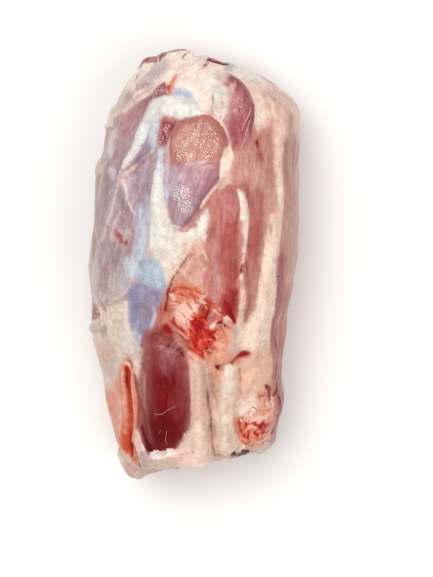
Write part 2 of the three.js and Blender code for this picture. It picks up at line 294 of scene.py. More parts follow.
@dataclass
class ShankForm:
    """The bare form: rounded sections along the shank, closed at a pole at either end.

    Attributes:
        sections: From the thick end to the thin one.
        shoulder_y: Where the thick end starts to round off.
        shoulder_reach: How far it goes on from there.
        shoulder_bluntness: Below 1 it stays high for longer.
        rim_y: Where the thin end's rim starts.
        rim_radius: Radius of that rim.
        cut_slant: Slope of the thin end's cut across the shank.
        cut_slant_start_y: Where that slope starts to show.
        top_power: Fullness of a section's upper half; 2 makes an ellipse.
        under_power: Fullness of its lower half.
        settle: How far the meat would reach below the table if it didn't settle.
        settle_softness: Height over which its sides bend into the flat patch.
        upper_rise: Heights over the waist between which the side turns into the upper side.
        columns: Points of a ring.
        crowding: How much closer together they lie on top than below.
        shoulder_rings: Rings of the thick end.
        body_rings: Rings from there to the rim.
        rim_rings: Rings of the thin end's rim.
        face_rings: Rings of its cut face.
    """

    sections: tuple[Section, ...] = (
        Section(129, -5.0, 46.0, 92, 42),
        Section(103, 6.0, 57.4, 92, 42),
        Section(80, 4.6, 59.0, 94, 42),
        Section(58, 1.0, 61.2, 97, 43),
        Section(20, -1.0, 62.6, 99, 43),
        Section(-12, -3.2, 61.2, 96, 42),
        Section(-45, -4.0, 57.4, 90, 39),
        Section(-80, 0.0, 53.4, 82, 36),
        Section(-107, 1.4, 48.4, 76, 34),
    )
    shoulder_y: float = 80.0
    shoulder_reach: float = 49.0
    shoulder_bluntness: float = 0.6
    rim_y: float = -107.0
    rim_radius: float = 11.0
    cut_slant: float = 0.11
    cut_slant_start_y: float = -60.0
    top_power: float = 2.25
    under_power: float = 2.7
    settle: float = 5.0
    settle_softness: float = 2.0
    upper_rise: tuple[float, float] = (-10.0, 12.0)
    columns: int = 296
    crowding: float = 0.38
    shoulder_rings: int = 74
    body_rings: int = 176
    rim_rings: int = 18
    face_rings: int = 46

    def value(self, name: str, y: np.ndarray | float) -> np.ndarray:
        """One size of the section at y, on a smooth curve through the sections.

        Args:
            name: Which size, as Section names it.
            y: One place along the shank, or many.

        Returns:
            The size there, in millimetres.
        """
        stations = np.array([section.y for section in self.sections], float)
        sizes = np.array([getattr(section, name) for section in self.sections], float)
        at = np.clip(np.asarray(y, float), stations[-1], stations[0])
        i = np.clip(np.searchsorted(-stations, -at, side="right") - 1, 0, len(stations) - 2)
        before, after = np.maximum(i - 1, 0), np.minimum(i + 2, len(stations) - 1)
        span = stations[i + 1] - stations[i]
        start_slope = (sizes[i + 1] - sizes[before]) / (stations[i + 1] - stations[before]) * span
        end_slope = (sizes[after] - sizes[i]) / (stations[after] - stations[i]) * span
        t = (at - stations[i]) / span
        rise = sizes[i + 1] - sizes[i]
        return sizes[i] + t * (start_slope + t * (3 * rise - 2 * start_slope - end_slope
                                                  + t * (start_slope + end_slope - 2 * rise)))

    def slant(self, x: np.ndarray, y: np.ndarray | float) -> np.ndarray:
        """How far the slanting cut at the thin end moves points at x and y along y."""
        return self.cut_slant * x * smooth_step(self.cut_slant_start_y, self.rim_y, np.asarray(y))

    def rest_on_table(self, z: np.ndarray) -> np.ndarray:
        """Flattens what would sink below the table, with a soft edge round the flat patch.

        Args:
            z: Heights over the table, in millimetres.

        Returns:
            The heights at rest, none of them below 0.
        """
        soft = self.settle_softness
        eased = (z + soft) ** 2 / (4.0 * soft)
        return np.where(z <= -soft, 0.0, np.where(z >= soft, z, eased))

    def rings(self) -> list[tuple[float, float, float, float, float]]:
        """Lists the rings from the thick end's pole to the thin end's.

        Returns:
            Each ring as (y, scale across, scale upright, share of cut face, inset).
        """
        rings = []
        for i in range(1, self.shoulder_rings + 1):
            turn = math.pi / 2 * i / (self.shoulder_rings + 1)
            y = self.shoulder_y + self.shoulder_reach * math.cos(turn)
            rings.append((y, math.sin(turn), math.sin(turn) ** self.shoulder_bluntness, 0.0, 0.0))
        for y in np.linspace(self.shoulder_y, self.rim_y, self.body_rings + 1):
            rings.append((float(y), 1.0, 1.0, 0.0, 0.0))
        half = float(self.value("half_width", self.rim_y))
        waist = float(self.value("waist", self.rim_y))
        for i in range(1, self.rim_rings + 1):
            turn = math.pi / 2 * i / self.rim_rings
            inset = self.rim_radius * (1.0 - math.cos(turn))
            y = self.rim_y - self.rim_radius * math.sin(turn)
            rings.append((y, 1 - inset / half, 1 - inset / waist, i / self.rim_rings, 0.0))
        y, across, upright = rings[-1][:3]
        for i in range(1, self.face_rings):
            left = 1.0 - i / self.face_rings
            rings.append((y, across * left, upright * left, 1.0, half * (1.0 - left)))
        return rings

    def skin(self) -> Skin:
        """Makes the surface of the bare form.

        Returns:
            The skin, before any relief.
        """
        rings = self.rings()
        even = 2 * np.pi * np.arange(self.columns) / self.columns
        angle = even - self.crowding * np.sin(even)
        side, up = np.sin(angle), np.cos(angle)
        power = 2.0 / np.where(up >= 0, self.top_power, self.under_power)
        shape = (len(rings), self.columns)
        places = np.zeros(shape + (3,))
        q, run, face, inset = (np.zeros(shape) for _ in range(4))
        for row, (y, across, upright, cut, inwards) in enumerate(rings):
            waist = float(self.value("waist", y))
            rise = np.where(up >= 0, float(self.value("height", y)) - waist, waist + self.settle)
            middle, half = float(self.value("middle", y)), float(self.value("half_width", y))
            x = middle + half * across * np.sign(side) * np.abs(side) ** power
            z = waist + rise * upright * np.sign(up) * np.abs(up) ** power
            places[row] = np.stack([x, y + self.slant(x, y), z], axis=1)
            q[row] = self.unrolled(places[row], up, middle)
            run[row] = y - inwards + self.slant(x, y)
            face[row], inset[row] = cut, inwards
        first_face_row = len(rings) - self.face_rings + 1
        q[first_face_row:] = q[first_face_row - 1]
        outward = self.normals(places)
        waists = self.value("waist", places[:, :, 1])
        upper = smooth_step(*self.upper_rise, places[:, :, 2] - waists) * (1.0 - face)
        angles = np.tile(angle, (len(rings), 1))
        return Skin(places, outward, angles, q, run, face, inset, upper)

    @staticmethod
    def unrolled(ring: np.ndarray, up: np.ndarray, middle: float) -> np.ndarray:
        """Place across of each point of a ring, counted on down the sides past the waist.

        Args:
            ring: The ring's points.
            up: Cosine of each point's angle, above 0 on the upper half.
            middle: x of the ring's middle; not used.

        Returns:
            One q for each point.
        """
        q = ring[:, 0].copy()
        count = len(q)
        steps = np.linalg.norm(ring - np.roll(ring, 1, axis=0), axis=1)
        for i in range(1, count // 2 + 1):
            if up[i] < 0:
                q[i] = q[i - 1] + steps[i]
        for i in range(count - 1, count // 2, -1):
            if up[i] < 0:
                q[i] = q[(i + 1) % count] - steps[(i + 1) % count]
        return q

    @staticmethod
    def normals(places: np.ndarray) -> np.ndarray:
        """Directions straight out of a surface of rings.

        Args:
            places: The points, ring by ring.

        Returns:
            A row of length 1 for each point.
        """
        around = np.roll(places, -1, axis=1) - np.roll(places, 1, axis=1)
        along = np.gradient(places, axis=0)
        out = np.cross(along, around)
        size = np.linalg.norm(out, axis=2, keepdims=True)
        out = out / np.maximum(size, 1e-9)
        middle = places.mean(axis=(0, 1))
        inward = np.sum(out * (places - middle), axis=2).mean() < 0
        return -out if inward else out


# ---------------------------------------------------------------------------------------
# Layers of tissue
# ---------------------------------------------------------------------------------------

class Tissue(Enum):
    """What a layer is made of. A layer covers what lies lower in this list."""

    FLESH = 0
    FAT = 1
    FILM = 2
    BLOOD = 3


@dataclass(frozen=True)
class Layer:
    """What every layer says about itself, in millimetres.

    Attributes:
        tissue: What the layer is made of; a painted highlight or painted shade is laid as one of the
            tissues.
        colour: Its sRGB colour code.
        places: A patch's outline, or a stroke's line with its full width at each place.
        soft: Half the width of the fade at its edge.
        rough: How far its edge wanders.
        cover: How much of what is below it hides, from 0 to 1.
        lift: How far it raises the surface, or sinks it below 0.
        heading: Direction of the fibres in degrees from +Y towards +X, if it has its own.
    """

    tissue: Tissue
    colour: str
    places: tuple[Place | WidePlace, ...]
    soft: float = 2.0
    rough: float = 0.9
    cover: float = 1.0
    lift: float = 0.0
    heading: float | None = None


@dataclass(frozen=True)
class Patch(Layer):
    """A layer with a closed outline; its lift rises over `rounding` from the edge inwards."""

    rounding: float = 3.0


@dataclass(frozen=True)
class Stroke(Layer):
    """A layer along a line of places, each with the full width there."""


# Places along a streak as shares of its length, each with a share of its width.
STREAK_SHAPE = ((-0.5, 0.3), (-0.2, 0.9), (0.2, 1.0), (0.5, 0.3))
STREAK_SOFT, STREAK_ROUGH = 0.7, 0.4
STREAK_FADE_START = -0.5  # distance inside the area's outline, in millimetres


@dataclass(frozen=True)
class Streaks:
    """Many thin strokes strewn over an area: fibres, fine veins, smears of blood, or painted glints.

    Attributes:
        tissue: What they are made of.
        colours: Their sRGB colour codes, one of them for each stroke.
        count: How many there are.
        length: The shortest and the longest, in millimetres.
        width: The thinnest and the thickest, in millimetres.
        heading: Their direction in degrees from +Y towards +X.
        spread: How far a stroke turns away from it, in degrees.
        cover: How much of what is below it a stroke hides, from 0 to 1.
        fade: Distance over which the strokes get fainter towards the area's outline.
        seed: Chooses where they are.
        area: Outline of the area.
    """

    tissue: Tissue
    colours: tuple[str, ...]
    count: int
    length: tuple[float, float]
    width: tuple[float, float]
    heading: float
    spread: float
    area: tuple[Place, ...]
    cover: float = 0.6
    fade: float = 5.0
    seed: int = 1

    def strokes(self) -> list[Stroke]:
        """Strews the strokes.

        Returns:
            The strokes, the same ones on every run.
        """
        chance = np.random.default_rng(self.seed)
        outline = np.array(self.area, float)
        rim = np.vstack([outline, outline[:1]])
        made = []
        while len(made) < self.count:
            middle = chance.uniform(outline.min(axis=0), outline.max(axis=0))
            turn, bend = self.heading + self.spread * chance.normal(), self.spread * chance.normal()
            length, width = chance.uniform(*self.length), chance.uniform(*self.width)
            colour = self.colours[int(chance.integers(len(self.colours)))]
            if not is_inside(middle[None], outline)[0]:
                continue
            path = []
            for share, thick in STREAK_SHAPE:
                angle = math.radians(turn + bend * share)
                place = middle + share * length * np.array([math.sin(angle), math.cos(angle)])
                path.append((float(place[0]), float(place[1]), thick * width))
            inwards = reach_of_line(middle[None], rim)
            cover = self.cover * float(smooth_step(STREAK_FADE_START, self.fade, inwards)[0])
            made.append(Stroke(self.tissue, colour, tuple(path), STREAK_SOFT, STREAK_ROUGH, cover))
        return made


def flowing(knots: Sequence[Sequence[float]], closed: bool, steps: int = 5) -> np.ndarray:
    """A smooth curve through some points.

    Args:
        knots: The points, each a row of numbers.
        closed: Whether the curve returns to its start.
        steps: Points made for each stretch between two knots.

    Returns:
        The points of the curve, the last one apart from the first also if it is closed.
    """
    points = np.asarray(knots, float)
    count = len(points)
    made = []
    for i in range(count if closed else count - 1):
        around = [i - 1, i, i + 1, i + 2]
        around = [k % count if closed else min(max(k, 0), count - 1) for k in around]
        before, start, end, after = points[around]
        for t in np.arange(steps) / steps:
            made.append(0.5 * (2 * start + (end - before) * t
                               + (2 * before - 5 * start + 4 * end - after) * t * t
                               + (3 * start - before - 3 * end + after) * t ** 3))
    if not closed:
        made.append(points[-1])
    return np.array(made)


def reach_of_line(points: np.ndarray, line: np.ndarray,
                  widths: np.ndarray | None = None) -> np.ndarray:
    """Distance of each point from a line of points.

    Args:
        points: The points, one row each.
        line: The line's points, one row each.
        widths: The line's width at each of its points, if it has one.

    Returns:
        One distance for each point, less half the line's width, so it is below 0 inside.
    """
    nearest = np.full(len(points), np.inf)
    for i in range(len(line) - 1):
        start, span = line[i], line[i + 1] - line[i]
        share = np.clip((points - start) @ span / max(float(span @ span), 1e-9), 0.0, 1.0)
        away = np.linalg.norm(points - start - share[:, None] * span, axis=1)
        if widths is not None:
            away = away - 0.5 * (widths[i] + (widths[i + 1] - widths[i]) * share)
        nearest = np.minimum(nearest, away)
    return nearest


def is_inside(spots: np.ndarray, outline: np.ndarray) -> np.ndarray:
    """Which spots lie inside a closed outline in the plane.

    Args:
        spots: The spots, one row of two numbers each.
        outline: The outline's corners, one row each.

    Returns:
        True or False for each spot.
    """
    inside = np.zeros(len(spots), bool)
    x, y = spots[:, 0], spots[:, 1]
    for (x0, y0), (x1, y1) in zip(outline, np.roll(outline, -1, axis=0)):
        if y0 != y1:
            crossing = (y0 > y) != (y1 > y)
            inside ^= crossing & (x < x0 + (y - y0) * (x1 - x0) / (y1 - y0))
    return inside


@dataclass(frozen=True)
class Mottling:
    """How the colour of a tissue varies.

    Attributes:
        paler: Colour that it goes towards in one half of the patches.
        deeper: Colour that it goes towards in the other half.
        size: Size of the patches, in millimetres.
        strength: How far it goes, from 0 to 1.
        spots: How much lighter and darker the fine spots are, as a share.
        spot_size: Size of the fine spots, in millimetres.
    """

    paler: str
    deeper: str
    size: float
    strength: float
    spots: float
    spot_size: float = 2.2


MOTTLING = {
    Tissue.FLESH: Mottling("#cdaaa6", "#8c5c60", 9.0, 0.24, 0.05),
    Tissue.FAT: Mottling("#fbf7f2", "#e6bfb0", 10.0, 0.22, 0.035),
    Tissue.FILM: Mottling("#d3dfe8", "#a991a6", 7.0, 0.30, 0.05),
    Tissue.BLOOD: Mottling("#dd6a4e", "#6a0a0a", 4.5, 0.40, 0.12),
}


class Canvas:
    """The skin's points with the tissues laid on them so far.

    Attributes:
        skin: The bare skin.
        points: Its points, one row each.
        spots: The same points as (q, run).
        tint: sRGB values of each tissue at each point.
        amount: How much of each tissue shows there, from 0 to 1.
        rise: How far the layers lift the surface, in millimetres.
        heading: Direction of the fibres in degrees from +Y towards +X.
        wander: Ragged values that move the layers' edges in and out.
    """

    SOFTENING = 1.3  # patches fade out over more than their layers say
    PATCH_RISE_START = -0.3  # where a patch starts to lift, as a share of its rounding
    STROKE_FULLNESS = 1.35  # reach of a stroke's swelling against half its width
    FULL_MOTTLE = 0.68  # mean tint from which the mottling is at its strongest
    EDGE_BUMPS = ((0.5, 5.5), (0.4, 2.6), (0.35, 1.3))  # height and size

    def __init__(self, skin: Skin) -> None:
        """Starts with bare flesh all over.

        Args:
            skin: The bare skin.
        """
        self.skin = skin
        self.points = skin.places.reshape(-1, 3)
        self.spots = np.stack([skin.q.ravel(), skin.run.ravel()], axis=1)
        count = len(self.points)
        self.tint = {tissue: np.full((count, 3), 0.7) for tissue in Tissue}
        self.amount = {tissue: np.zeros(count) for tissue in Tissue}
        self.amount[Tissue.FLESH][:] = 1.0
        self.rise = np.zeros(count)
        self.heading = np.zeros(count)
        self.wander = sum(height * unevenness(self.points, size, Seed.EDGES + number)
                          for number, (height, size) in enumerate(self.EDGE_BUMPS))

    def lay_mask(self, tissue: Tissue, colour: np.ndarray, mask: np.ndarray,
                 where: np.ndarray | slice = slice(None)) -> None:
        """Lays a tissue over some points, as strongly as the mask says.

        Args:
            tissue: What is laid.
            colour: Its sRGB values, one row for all or one for each point.
            mask: How much it hides at each point, from 0 to 1.
            where: The points it is laid on.
        """
        for over in Tissue:
            if over.value > tissue.value:
                self.amount[over][where] *= 1.0 - mask
        before = self.amount[tissue][where]
        after = before + (1.0 - before) * mask
        if tissue is Tissue.FLESH:
            share = mask
        else:
            share = mask / np.maximum(after, 1e-6)
            self.amount[tissue][where] = after
        old = self.tint[tissue][where]
        self.tint[tissue][where] = old + (np.asarray(colour) - old) * share[:, None]

    def lay(self, layer: Patch | Stroke) -> None:
        """Lays one patch or stroke.

        Args:
            layer: The patch or stroke.
        """
        closed = isinstance(layer, Patch)
        curve = flowing(layer.places, closed)
        widths = None if closed else curve[:, 2]
        pad = layer.soft + layer.rough + 1.0 + (0.0 if closed else float(widths.max()))
        low, high = curve[:, :2].min(axis=0) - pad, curve[:, :2].max(axis=0) + pad
        where = np.nonzero(np.all((self.spots >= low) & (self.spots <= high), axis=1))[0]
        if not len(where):
            return
        line = np.array([self.skin.lift(spot) for spot in curve[:, :2]])
        if closed:
            away = reach_of_line(self.points[where], np.vstack([line, line[:1]]))
            inside = is_inside(self.spots[where], curve[:, :2])
            away = np.where(inside, -away, away)
            profile = smooth_step(self.PATCH_RISE_START * layer.rounding, layer.rounding, -away)
        else:
            away = reach_of_line(self.points[where], line, widths)
            half = 0.5 * float(widths.mean())
            profile = swell(away + half, self.STROKE_FULLNESS * half)
        ragged = away + layer.rough * self.wander[where]
        soft = layer.soft * (self.SOFTENING if closed else 1.0)
        mask = layer.cover * (1.0 - smooth_step(-soft, soft, ragged))
        self.lay_mask(layer.tissue, srgb(layer.colour), mask, where)
        self.rise[where] += layer.lift * profile
        if layer.heading is not None:
            self.heading[where[mask > 0.5]] = layer.heading

    def mottle(self) -> None:
        """Makes the colour of every tissue uneven, in broad patches and in fine spots."""
        for number, (tissue, mottling) in enumerate(MOTTLING.items()):
            broad = layered_unevenness(self.points, mottling.size, Seed.MOTTLES + number)
            toward = np.where(broad[:, None] > 0.0, srgb(mottling.paler), srgb(mottling.deeper))
            tint = self.tint[tissue]
            share = mottling.strength * np.clip(np.abs(broad), 0.0, 1.0) * np.clip(
                tint.mean(axis=1) / self.FULL_MOTTLE, 0.0, 1.0) ** 2
            tint = tint + (toward - tint) * share[:, None]
            fine = layered_unevenness(self.points, mottling.spot_size, Seed.SPOTS + number, 2)
            self.tint[tissue] = np.clip(tint * (1.0 + mottling.spots * fine[:, None]), 0.0, 1.0)


@dataclass(frozen=True)
class Region:
    """Layers that belong to one part of the meat, the lowest first."""

    name: str
    layers: tuple[Patch | Stroke | Streaks, ...]


FLESH, FAT, FILM, BLOOD = Tissue.FLESH, Tissue.FAT, Tissue.FILM, Tissue.BLOOD

GROUND = Region("ground", (
    Patch(FLESH, "#bdb1b2", ((-89, 82), (-54, 96), (-40, 110), (-25, 108), (-23, 69), (-25, -22),
        (-60, -49), (-89, -49)), soft=5, rough=3, heading=4),
    Patch(FLESH, "#a8978b", ((-89, 69), (-59, 69), (-57, 51), (-59, 11), (-89, 11)), soft=9, rough=4),
    Patch(FLESH, "#c6bfb9", ((-89, 1), (-57, 1), (-42, -5), (-39, -20), (-57, -26), (-89, -22)), soft=6,
        rough=4),
    Patch(FLESH, "#cc988d", ((17, 66), (35, 81), (46, 87), (61, 51), (82, 45), (82, -49), (46, -49),
        (23, -46), (13, -22), (8, 14)), soft=5, rough=3, heading=3),
    Patch(FAT, "#f7eee5", ((-47, 107), (-36, 122), (-23, 137), (4, 144), (28, 137), (47, 122), (67, 113),
        (64, 101), (41, 96), (31, 99), (19, 107), (12, 92), (1, 89), (-17, 100), (-29, 101), (-41, 96)),
        soft=3, rough=2),
    Patch(FAT, "#e0b7a9", ((39, 108), (64, 113), (85, 101), (85, 45), (55, 69), (45, 71), (35, 84),
        (37, 99)), soft=7, rough=3),
    Patch(FLESH, "#c4988b", ((55, 79), (71, 55), (71, -28), (55, -40), (52, 8)), soft=9, rough=6),
    Patch(FAT, "#e6e5dc", ((-23, 58), (-19, 59), (-18, 45), (-16, 31), (-10, 20), (1, 25), (7, 34),
        (11, 23), (6, 11), (-4, 6), (-17, -12), (-22, 1), (-26, 8), (-28, 29), (-26, 46)), soft=2.4,
        rough=2),
    Patch(FAT, "#d6ab9d", ((1, 12), (8, 11), (13, 1), (17, -22), (7, -23), (-8, -17), (-17, -14),
        (-13, -6)), soft=4, rough=2),
    Patch(FAT, "#dfbca8", ((-6, -52), (11, -35), (28, -33), (41, -37), (46, -46), (45, -106), (55, -136),
        (-45, -145), (-34, -106), (-2, -100)), soft=4, rough=2),
    Patch(FAT, "#dbcdc2", ((-89, -26), (-57, -25), (-41, -23), (-39, -40), (-26, -49), (-29, -124),
        (-43, -142), (-61, -130), (-89, -106)), soft=5, rough=4),
    Patch(FLESH, "#b3766a", ((47, -22), (58, -16), (64, -40), (66, -76), (63, -106), (49, -110), (45, -101),
        (49, -89), (45, -52)), soft=5, rough=4, heading=2),
))

THICK_END = Region("thick end", (
    Patch(FAT, "#cdbfb2", ((-52, 101), (-43, 108), (-37, 105), (-36, 100), (-42, 92), (-49, 92)),
        cover=0.9),
    Patch(FLESH, "#b6a298", ((-41, 102), (-37, 104), (-36, 99), (-41, 95)), soft=2.5, cover=0.7),
    Patch(FLESH, "#b8939a", ((-28, 102), (-26, 99), (-31, 90), (-37, 79), (-39, 74), (-43, 76), (-46, 82),
        (-45, 88), (-36, 95)), soft=1.8, lift=0.8, heading=38),
    Patch(FAT, "#efece3", ((-47, 104), (-41, 113), (-37, 117), (-34, 117), (-33, 113), (-38, 105),
        (-42, 106)), soft=1.4, lift=1.0),
    Stroke(FLESH, "#a3968d", ((-33, 116, 0.7), (-33.5, 112.5, 1.1), (-35, 108.5, 0.7)), soft=0.8, rough=0.4,
        lift=-0.5),
    Patch(FILM, "#b5a3ac", ((-34, 106), (-32, 111), (-22, 123), (-17, 122), (-18, 117), (-28, 107)),
        soft=2.4, cover=0.9),
    Patch(FLESH, "#a27a7e", ((-36, 104), (-33, 109), (-28, 112), (-26, 110), (-34, 102)), soft=3, rough=1.6,
        cover=0.65),
    Patch(FLESH, "#9a656d", ((-22, 110), (-14, 105), (-14, 101), (-26, 98), (-31, 96)), soft=2.4, rough=2.2,
        lift=-0.5),
    Stroke(FAT, "#dcc6c0", ((-17.5, 112.5, 2.4), (-21.5, 109.5, 2.4), (-32, 101.5, 3.6), (-37.5, 95.5, 3),
        (-48, 89, 2.4), (-52, 83, 1.8)), lift=1.1, rough=0.5, soft=1.2),
    Stroke(FAT, "#d8bcb6", ((-25.5, 109.5, 1.2), (-30, 103.5, 1.5), (-42, 94, 1.2)), lift=0.6, rough=0.5,
        soft=1),
    Stroke(FLESH, "#a58581", ((-51, 84.5, 1.8), (-55.5, 67.5, 2.4), (-58, 59, 1.8)), soft=1.6, cover=0.8),
    Patch(FAT, "#cfc6c4", ((-51, 79), (-46, 82), (-44, 75), (-46, 64), (-50, 65)), soft=2, cover=0.75),
    Patch(FLESH, "#b5a7ab", ((-45, 76), (-38, 75), (-38, 63), (-43, 57), (-46, 65)), soft=2),
    Stroke(FAT, "#dc8b74", ((-12, 113, 2.4), (-15, 105.5, 4.2), (-14.5, 102.5, 2.4)), soft=1.8, rough=1.4),
    Stroke(FAT, "#c4533c", ((-13, 111.5, 1.2), (-15.5, 108, 1.8), (-16.5, 104, 1.2)), soft=1),
    Patch(FAT, "#e3d3c6", ((-58, 89), (-55, 93), (-47, 96), (-49, 85), (-53, 82), (-57, 84)), lift=1.6,
        rounding=2, soft=1.2),
    Patch(FLESH, "#ab9eb1", ((-34, 79), (-28, 81), (-25, 77), (-25, 70), (-33, 60), (-37, 63), (-36, 71)),
        soft=1.8),
    Patch(FLESH, "#9c525a", ((-21, 85), (-16, 86), (-11, 84), (-16, 76), (-22, 69)), soft=1.8, rough=1.6,
        lift=-0.8),
    Patch(FLESH, "#86323c", ((-20, 83), (-14, 84), (-13, 81), (-17, 76), (-19, 78)), soft=2.2, cover=0.6),
    Patch(FAT, "#cfb9b6", ((-13, 82), (-10, 84), (-13, 71), (-15, 65), (-17, 69)), soft=2, cover=0.8),
    Patch(FILM, "#b0bbda", ((-14, 105), (-8, 105), (-2, 103), (-1, 98), (-2, 95), (-6, 99), (-13, 101)),
        soft=1.4),
    Patch(FAT, "#e6efec", ((-29, 91), (-21, 100), (-4, 99), (4, 91), (-6, 86), (-19, 88), (-26, 84)),
        lift=1.6, soft=1.8, rough=1.8),
    # Painted highlight: the brightest spot on the white arch of tendon.
    Patch(FAT, "#f8fcf9", ((-20, 98), (-13, 100), (-6, 98), (-4, 93), (-10, 90), (-17, 90)), soft=2.5,
        cover=0.9),
    Stroke(FILM, "#d6e2ea", ((-21.5, 91.5, 7.2), (-25.5, 85.5, 6.6), (-26.5, 79.5, 4.8), (-26, 72, 2.4)),
        soft=2.4),
    Stroke(FAT, "#e2eaea", ((-22.5, 94.5, 10.8), (-27, 88.5, 9), (-30.5, 82, 7.2), (-33, 75, 5.4),
        (-40.5, 59, 2.4)), lift=1.3, soft=1.8, rough=0.9),
    Stroke(FILM, "#d6e0ea", ((-23, 88, 2.4), (-23.5, 79.5, 2.4), (-24.5, 72, 3), (-25.5, 67.5, 2.4)),
        soft=1.6),
    Patch(FILM, "#bdb9cc", ((17, 122), (20, 124), (25, 122), (21, 116), (17, 117)), soft=1.4),
    Stroke(BLOOD, "#dfa49b", ((5.5, 124.5, 1.8), (7, 120.5, 2.4), (4, 117, 2.4), (0.5, 114.5, 1.2)),
        cover=0.7, soft=1.6, rough=1.2),
    Patch(FLESH, "#b08e92", ((11, 113), (22, 113), (23, 109), (19, 105), (13, 108)), soft=2.2, rough=2,
        cover=0.85),
    Patch(FAT, "#dfe0d9", ((10, 107), (14, 107), (20, 101), (17, 87), (12, 89), (10, 96)), soft=1.5,
        heading=-8),
    Stroke(FAT, "#dcbfbc", ((17, 96.5, 1.8), (15.5, 90.5, 2.4), (14.5, 87.5, 1.8)), soft=1.4, cover=0.7),
    # Painted shadow: a grey line along the left edge of the grey-white tendon.
    Stroke(FLESH, "#b9b3ab", ((10.5, 103.5, 0.7), (10.5, 97.5, 1.1), (10, 91.5, 0.7)), soft=1.2, lift=-0.3,
        cover=0.8),
    Patch(FAT, "#ecdccb", ((31, 111), (36, 113), (39, 110), (40, 104), (36, 102), (32, 104)), lift=1.2,
        soft=1.3),
    Stroke(FAT, "#d3a79b", ((28.5, 112, 1.8), (30.5, 108.5, 1.2), (33, 101.5, 1.8), (37.5, 98.5, 2.4),
        (42, 102.5, 1.8), (43.5, 107, 1.8)), soft=1.6, cover=0.7),
    Patch(FAT, "#efe0d7", ((35, 100), (41, 101), (42, 93), (41, 84), (36, 83)), soft=2, rough=2),
    Stroke(FAT, "#ecebda", ((39.5, 92.5, 2.4), (40.5, 89.5, 3)), soft=1.2),
    Stroke(BLOOD, "#cf7a6c", ((47.5, 109, 2.4), (49, 106.5, 3)), soft=1.4, cover=0.85),
    Stroke(FLESH, "#c4998c", ((46, 101, 3), (44.5, 88, 2.4)), soft=2.2, rough=1.4, cover=0.7),
    Stroke(FLESH, "#c09184", ((56, 100, 2.4), (56.5, 92.5, 3.6), (56.5, 84.5, 3)), soft=2.2, rough=1.4,
        cover=0.7),
    Stroke(FLESH, "#b08f80", ((54, 106.5, 0.9), (59, 103.5, 1.3), (62, 99.5, 1.3), (64.5, 94, 0.9)), soft=1,
        rough=0.6, cover=0.5),
    Stroke(BLOOD, "#c9686a", ((62.5, 90.5, 1.8), (63, 87.5, 1.8)), soft=0.9, cover=0.9),
    Stroke(BLOOD, "#c07a50", ((63, 85.5, 1.8), (62.5, 80.5, 1.8)), soft=0.9, cover=0.9),
    Stroke(BLOOD, "#9c8078", ((-8.5, 125, 0.6), (-6, 126.5, 0.8), (-3.5, 127, 0.5)), soft=0.4, rough=0.3),
    Stroke(BLOOD, "#8e6a62", ((-2, 127, 0.5), (0, 126, 0.8), (2.5, 126, 0.8), (3.5, 127, 0.5)), soft=0.4,
        rough=0.3),
    Streaks(BLOOD, ("#dfa79c", "#cf8f84"), 26, (2, 7), (0.7, 1.4), 30, 60, ((-11, 126), (23, 126),
        (28, 113), (7, 101), (-8, 108)), cover=0.4, fade=2, seed=7),
    Streaks(BLOOD, ("#8c5a55", "#74302c"), 6, (0.8, 2.6), (0.6, 0.9), 70, 50, ((-11, 126), (6, 126),
        (11, 120), (7, 116), (-8, 122)), cover=0.7, fade=2, seed=8),
    Streaks(FLESH, ("#ad858c", "#c6a6aa", "#a98a92"), 30, (5, 16), (0.8, 1.5), 36, 9, ((-29, 101),
        (-26, 96), (-36, 79), (-42, 76), (-51, 63), (-54, 69), (-43, 92)), cover=0.4, seed=9),
    Streaks(FAT, ("#c4bfba", "#f8f8f4", "#d4d0ca"), 44, (1, 4), (0.7, 1.3), 40, 60, ((-49, 89), (-40, 107),
        (-29, 104), (-20, 99), (0, 99), (2, 92), (-5, 87), (-26, 88), (-39, 93)), cover=0.5, seed=10),
    Streaks(FAT, ("#c4948a", "#efdccf", "#cf9f93"), 60, (5, 22), (0.8, 2.0), -4, 12, ((37, 108), (58, 108),
        (64, 93), (63, 60), (41, 78), (35, 96)), cover=0.45, seed=11),
    Patch(FLESH, "#8c1f2b", ((7, 125), (11, 126), (16, 126), (20, 123), (19, 120), (13, 120), (8, 122)),
        soft=0.8, rough=0.4, lift=-1.2, rounding=2),
    # Painted glints: short pale strokes on the dark muscle beside the arch.
    Streaks(FILM, ("#dcc8ca", "#cfa9ac"), 34, (1, 3.5), (0.6, 1.0), 30, 50, ((-29, 104), (-22, 110),
        (-17, 107), (-14, 102), (-20, 98), (-30, 97)), cover=0.6, fade=2, seed=35),
    Streaks(FLESH, ("#c98f90", "#e6c4c2", "#7c2f38"), 28, (2, 7), (0.5, 1.0), 22, 24, ((-22, 85), (-11, 84),
        (-16, 76), (-20, 70)), cover=0.6, fade=2, seed=36),
))

